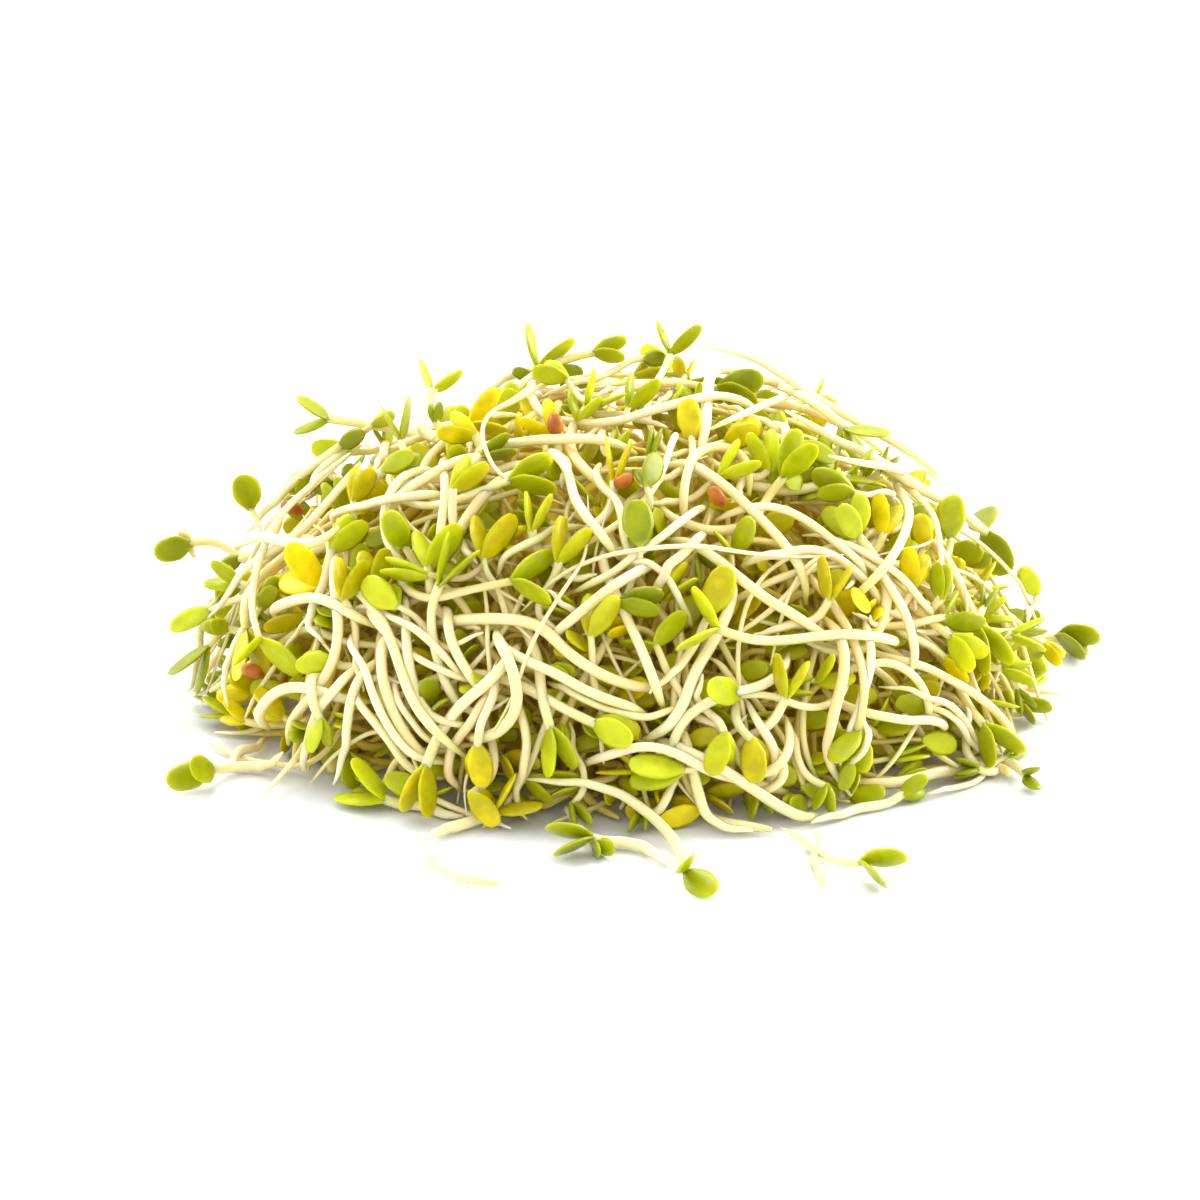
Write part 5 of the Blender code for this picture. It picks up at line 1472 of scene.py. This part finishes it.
@functools.lru_cache(maxsize=1)
def matted_stems():
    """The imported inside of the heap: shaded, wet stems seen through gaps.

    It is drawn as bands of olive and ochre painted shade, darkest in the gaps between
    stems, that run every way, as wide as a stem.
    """
    tints = bpy.context.scene.sprout_tints
    made, tree = new_surface("matted_stem_mass", {"Roughness": 0.7, "Specular IOR Level": 0.25})
    place = add_node(tree, "ShaderNodeTexCoord").outputs["Object"]
    settings = {"Scale": 130.0, "Distortion": 9.0, "Detail": 2.0, "Detail Scale": 0.7}
    bands = add_node(tree, "ShaderNodeTexWave", settings, {"Vector": place}).outputs["Fac"]
    # Painted shade: the dark between packed stems, the shaded mat and the inner stem shade.
    stops = ((0.1, tints.gap), (0.55, tints.mat), (0.9, tints.inner_stem_shade))
    colour = add_node(tree, "ShaderNodeValToRGB", links={0: bands}, stops=stops)
    finish_surface(tree, colour.outputs[0], bands, 0.8, 0.4)
    return made


def dress(piece, slot, *nodes):
    """Ties a finished piece to the frame, in place of its solids."""
    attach(piece, "root")
    if nodes:
        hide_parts(*nodes)


def strands_of(node):
    return [each for each in settled_strands() if each["tuft"] == node]


def grow_nodes(starts, last="sprouts"):
    """Grows a piece in place of each node whose name starts in one of some ways."""
    for node in sorted(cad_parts):
        if node.startswith(starts):
            dress(grow(f"{node}_{last}", strands_of(node)), "sprout", node)
    return {"FINISHED"}


# What a user can change.


def amount(name, description, default):
    return bpy.props.IntProperty(name=name, description=description, default=default, min=0)


def length(name, description, default):
    return bpy.props.FloatProperty(
        name=name, description=description, default=default, min=0.0, subtype="DISTANCE", unit="LENGTH")


def tint(name, description, shade):
    shade = linear(shade)
    return bpy.props.FloatVectorProperty(
        name=name, description=description, default=shade, subtype="COLOR", size=3, min=0.0, max=1.0)


class SproutSizes(bpy.types.PropertyGroup):
    filling_stems: amount("Filling stems", "Long sprouts fitted in between the main ones", 200)
    filling_heads: amount("Filling leaves", "Sprouts that open their leaves inside the heap", 360)
    filling_threads: amount("Thin roots", "Bare thin roots that wind over the heap", 70)
    root_wave: length("Root wave", "How far a root wavers from its line", 0.22 * MM)
    eye_distance: length("Eye distance", "From the camera to the middle of the heap", 0.55)
    view_width: length("View width", "Width of the picture at the middle of the heap", 0.1165)


class SproutTints(bpy.types.PropertyGroup):
    root: tint("Root", "The thin root, nearly white", "#F4EACA")
    stem: tint("Stem", "The stem's cream flesh", "#F2E4AE")
    stem_shade: tint("Stem mottling", "Yellower flesh in the stem", "#E8D88C")
    rosy_stem: tint("Rosy stem", "Stems with a warm beige cast", "#E8CC98")
    green_stem: tint("Green stem", "Stems with a faint green cast", "#E6E6A6")
    neck: tint("Neck", "Where the stem turns green below the leaves", "#CCD050")
    # Painted shade: stems deep in the heap turn to this tint.
    inner_stem_shade: tint("Deep stem", "Stems inside the heap", "#E2C836")
    dark_leaf: tint("Dark leaf", "The greenest seed leaves", "#7E8606")
    green_leaf: tint("Green leaf", "Most seed leaves", "#A3AA06")
    young_leaf: tint("Young leaf", "Yellow-green seed leaves", "#C6CE18")
    olive_leaf: tint("Olive leaf", "Seed leaves with a warm olive cast", "#B8AC06")
    yellow_leaf: tint("Yellow leaf", "Seed leaves that have had no light", "#E8D404")
    # Painted shade: seed leaves deep in the heap turn to this tint.
    inner_leaf_shade: tint("Deep leaf", "Seed leaves inside the heap", "#C2B810")
    husk: tint("Husk", "The seed coat", "#B4640A")
    husk_shade: tint("Husk shade", "Darker patches of the seed coat", "#864206")
    husk_light: tint("Husk light", "Paler patches of the seed coat", "#C8821A")
    # Painted shade: the shaded stems packed inside the heap and the dark between them.
    mat: tint("Mat", "Stems packed inside the heap", "#DABE38")
    gap: tint("Gap", "The dark between packed stems", "#AC9024")


# One operator for each group of pieces.


class GrowMat(bpy.types.Operator):
    """Grow the matted core and the bare stems that arch out of it"""

    bl_idname = "sprouts.grow_mat"
    bl_label = "Matted core"

    def execute(self, context):
        body = add_ball("matted_body", 72, 40, 1.0)
        edit_all()
        bpy.ops.mesh.bisect(plane_co=(0, 0, 0.001), plane_no=(0, 0, 1), clear_inner=True, use_fill=True)
        bpy.ops.object.mode_set(mode="OBJECT")
        for spot in body.data.vertices:
            x = spot.co.x * HEAP_SIZES[0] * CORE_SHARE
            y = spot.co.y * HEAP_SIZES[1] * CORE_SHARE
            height = heap_height(x, y, CORE_SHARE) if spot.co.z > 0.01 else 0.0
            spot.co = Vector((x, y, height)) * BODY_SHARE * MM
        body.data.materials.append(matted_stems())
        dress(grow("matted_core_stems", strands_of(CORE), extra=[body]), "matted_core", CORE)
        return {"FINISHED"}


class GrowTufts(bpy.types.Operator):
    """Grow the tufts of crossing sprouts on the heap's back and sides"""

    bl_idname = "sprouts.grow_tufts"
    bl_label = "Tufts"

    def execute(self, context):
        return grow_nodes("tuft_")


class GrowFront(bpy.types.Operator):
    """Grow the strands that stand out on the front of the heap"""

    bl_idname = "sprouts.grow_front"
    bl_label = "Front strands"

    def execute(self, context):
        return grow_nodes(tuple(row[0] for row in SEEN_STRANDS))


class GrowHeads(bpy.types.Operator):
    """Grow the sprouts whose seed leaves stand out"""

    bl_idname = "sprouts.grow_heads"
    bl_label = "Seed leaves"

    def execute(self, context):
        return grow_nodes("heads_")


class GrowStrays(bpy.types.Operator):
    """Grow the single sprouts that lie on the table round the heap"""

    bl_idname = "sprouts.grow_strays"
    bl_label = "Strays"

    def execute(self, context):
        return grow_nodes("stray_", "sprout")


class GrowFilling(bpy.types.Operator):
    """Grow the sprouts that fill the heap between the main ones"""

    bl_idname = "sprouts.grow_filling"
    bl_label = "Filling"

    def execute(self, context):
        sizes = context.scene.sprout_sizes
        filling = settled_filling(sizes.filling_stems, sizes.filling_heads, sizes.filling_threads)
        for name in sorted({each["tuft"] for each in filling}):
            members = [each for each in filling if each["tuft"] == name]
            dress(grow(name, members, fine=False), "sprout")
        return {"FINISHED"}


class MakeSeedCoats(bpy.types.Operator):
    """Make the empty seed coats that are caught between the stems"""

    bl_idname = "sprouts.make_seed_coats"
    bl_label = "Seed coats"

    def execute(self, context):
        for node, _ in sorted(SEEN_SEEDS):
            first, last = strands_of(node)[0]["points"]
            along = (last - first).normalized()
            facing = along.orthogonal().normalized()
            parts = zip((facing, along.cross(facing), along), SEED_SIZES)
            axes = Matrix([part * size for part, size in parts])
            coat = add_ball(f"{node}_husk", 28, 18)
            select_verts(coat, lambda co: co.z < -0.25)
            bpy.ops.transform.resize(value=(0.82, 0.82, 1.0), center_override=(0.0, 0.0, 0.0))
            select_verts(coat, lambda co: abs(co.z) < 0.2 and co.x > 0.3)
            bpy.ops.transform.translate(value=(-0.07, 0.0, 0.0))
            finish_edit()
            middle = Matrix.Translation((first + last) / 2 * MM)
            coat.data.transform(middle @ (axes.transposed() * MM).to_4x4())
            coat.data.materials.append(husk())
            dress(coat, "seed_coat", node)
        return {"FINISHED"}


class SetStage(bpy.types.Operator):
    """Set the white floor, the soft studio light and the camera"""

    bl_idname = "sprouts.set_stage"
    bl_label = "Stage"

    def execute(self, context):
        scene = context.scene
        sizes = scene.sprout_sizes
        bpy.ops.object.select_all(action="DESELECT")
        bpy.ops.mesh.primitive_plane_add(size=FLOOR_SIZE, location=(0.0, 0.0, FLOOR_DROP))
        floor = context.object
        floor.name = "floor"
        white, _ = new_surface("white_board", {"Base Color": (*FLOOR_SHADE, 1.0), "Roughness": 0.9})
        floor.data.materials.append(white)
        world = bpy.data.worlds.new("studio")
        scene.world = world
        world.use_nodes = True
        sky = world.node_tree.nodes["Background"]
        sky.inputs[0].default_value = (1.0, 1.0, 1.0, 1.0)
        sky.inputs[1].default_value = SKY_STRENGTH
        for name, place, power in SOFT_LIGHTS:
            bpy.ops.object.light_add(type="AREA", location=place)
            light = context.object
            light.name = light.data.name = name
            light.data.size = LIGHT_SIZE
            light.data.energy = power
            light.rotation_euler = Vector(place).to_track_quat("Z", "Y").to_euler()
        way = Vector((0.0, -math.cos(EYE_ELEVATION), math.sin(EYE_ELEVATION)))
        bpy.ops.object.camera_add(location=Vector(VIEW_MIDDLE) + way * sizes.eye_distance)
        camera = context.object
        camera.rotation_euler = way.to_track_quat("Z", "Y").to_euler()
        camera.data.lens = camera.data.sensor_width * sizes.eye_distance / sizes.view_width
        camera.data.clip_start = 0.01
        scene.camera = camera
        scene.view_settings.view_transform = "Standard"
        return {"FINISHED"}


OPERATORS = (
    GrowMat, GrowTufts, GrowFront, GrowHeads, GrowStrays, GrowFilling, MakeSeedCoats, SetStage,
)


class SproutPanel(bpy.types.Panel):
    bl_idname = "VIEW3D_PT_sprouts"
    bl_label = "Alfalfa sprouts"
    bl_space_type = "VIEW_3D"
    bl_region_type = "UI"
    bl_category = "Sprouts"

    def draw(self, context):
        for group in (context.scene.sprout_sizes, context.scene.sprout_tints):
            for name in group.__annotations__:
                self.layout.prop(group, name)
        for operator in OPERATORS:
            self.layout.operator(operator.bl_idname)


CLASSES = (SproutSizes, SproutTints, *OPERATORS, SproutPanel)


def register():
    for each in CLASSES:
        bpy.utils.register_class(each)
    bpy.types.Scene.sprout_sizes = bpy.props.PointerProperty(type=SproutSizes)
    bpy.types.Scene.sprout_tints = bpy.props.PointerProperty(type=SproutTints)


def unregister():
    del bpy.types.Scene.sprout_tints
    del bpy.types.Scene.sprout_sizes
    for each in reversed(CLASSES):
        bpy.utils.unregister_class(each)


def main():
    register()
    bpy.ops.sprouts.grow_mat()
    bpy.ops.sprouts.grow_tufts()
    bpy.ops.sprouts.grow_front()
    bpy.ops.sprouts.grow_heads()
    bpy.ops.sprouts.grow_strays()
    bpy.ops.sprouts.grow_filling()
    bpy.ops.sprouts.make_seed_coats()
    bpy.ops.sprouts.set_stage()


if __name__ == "__main__":
    main()
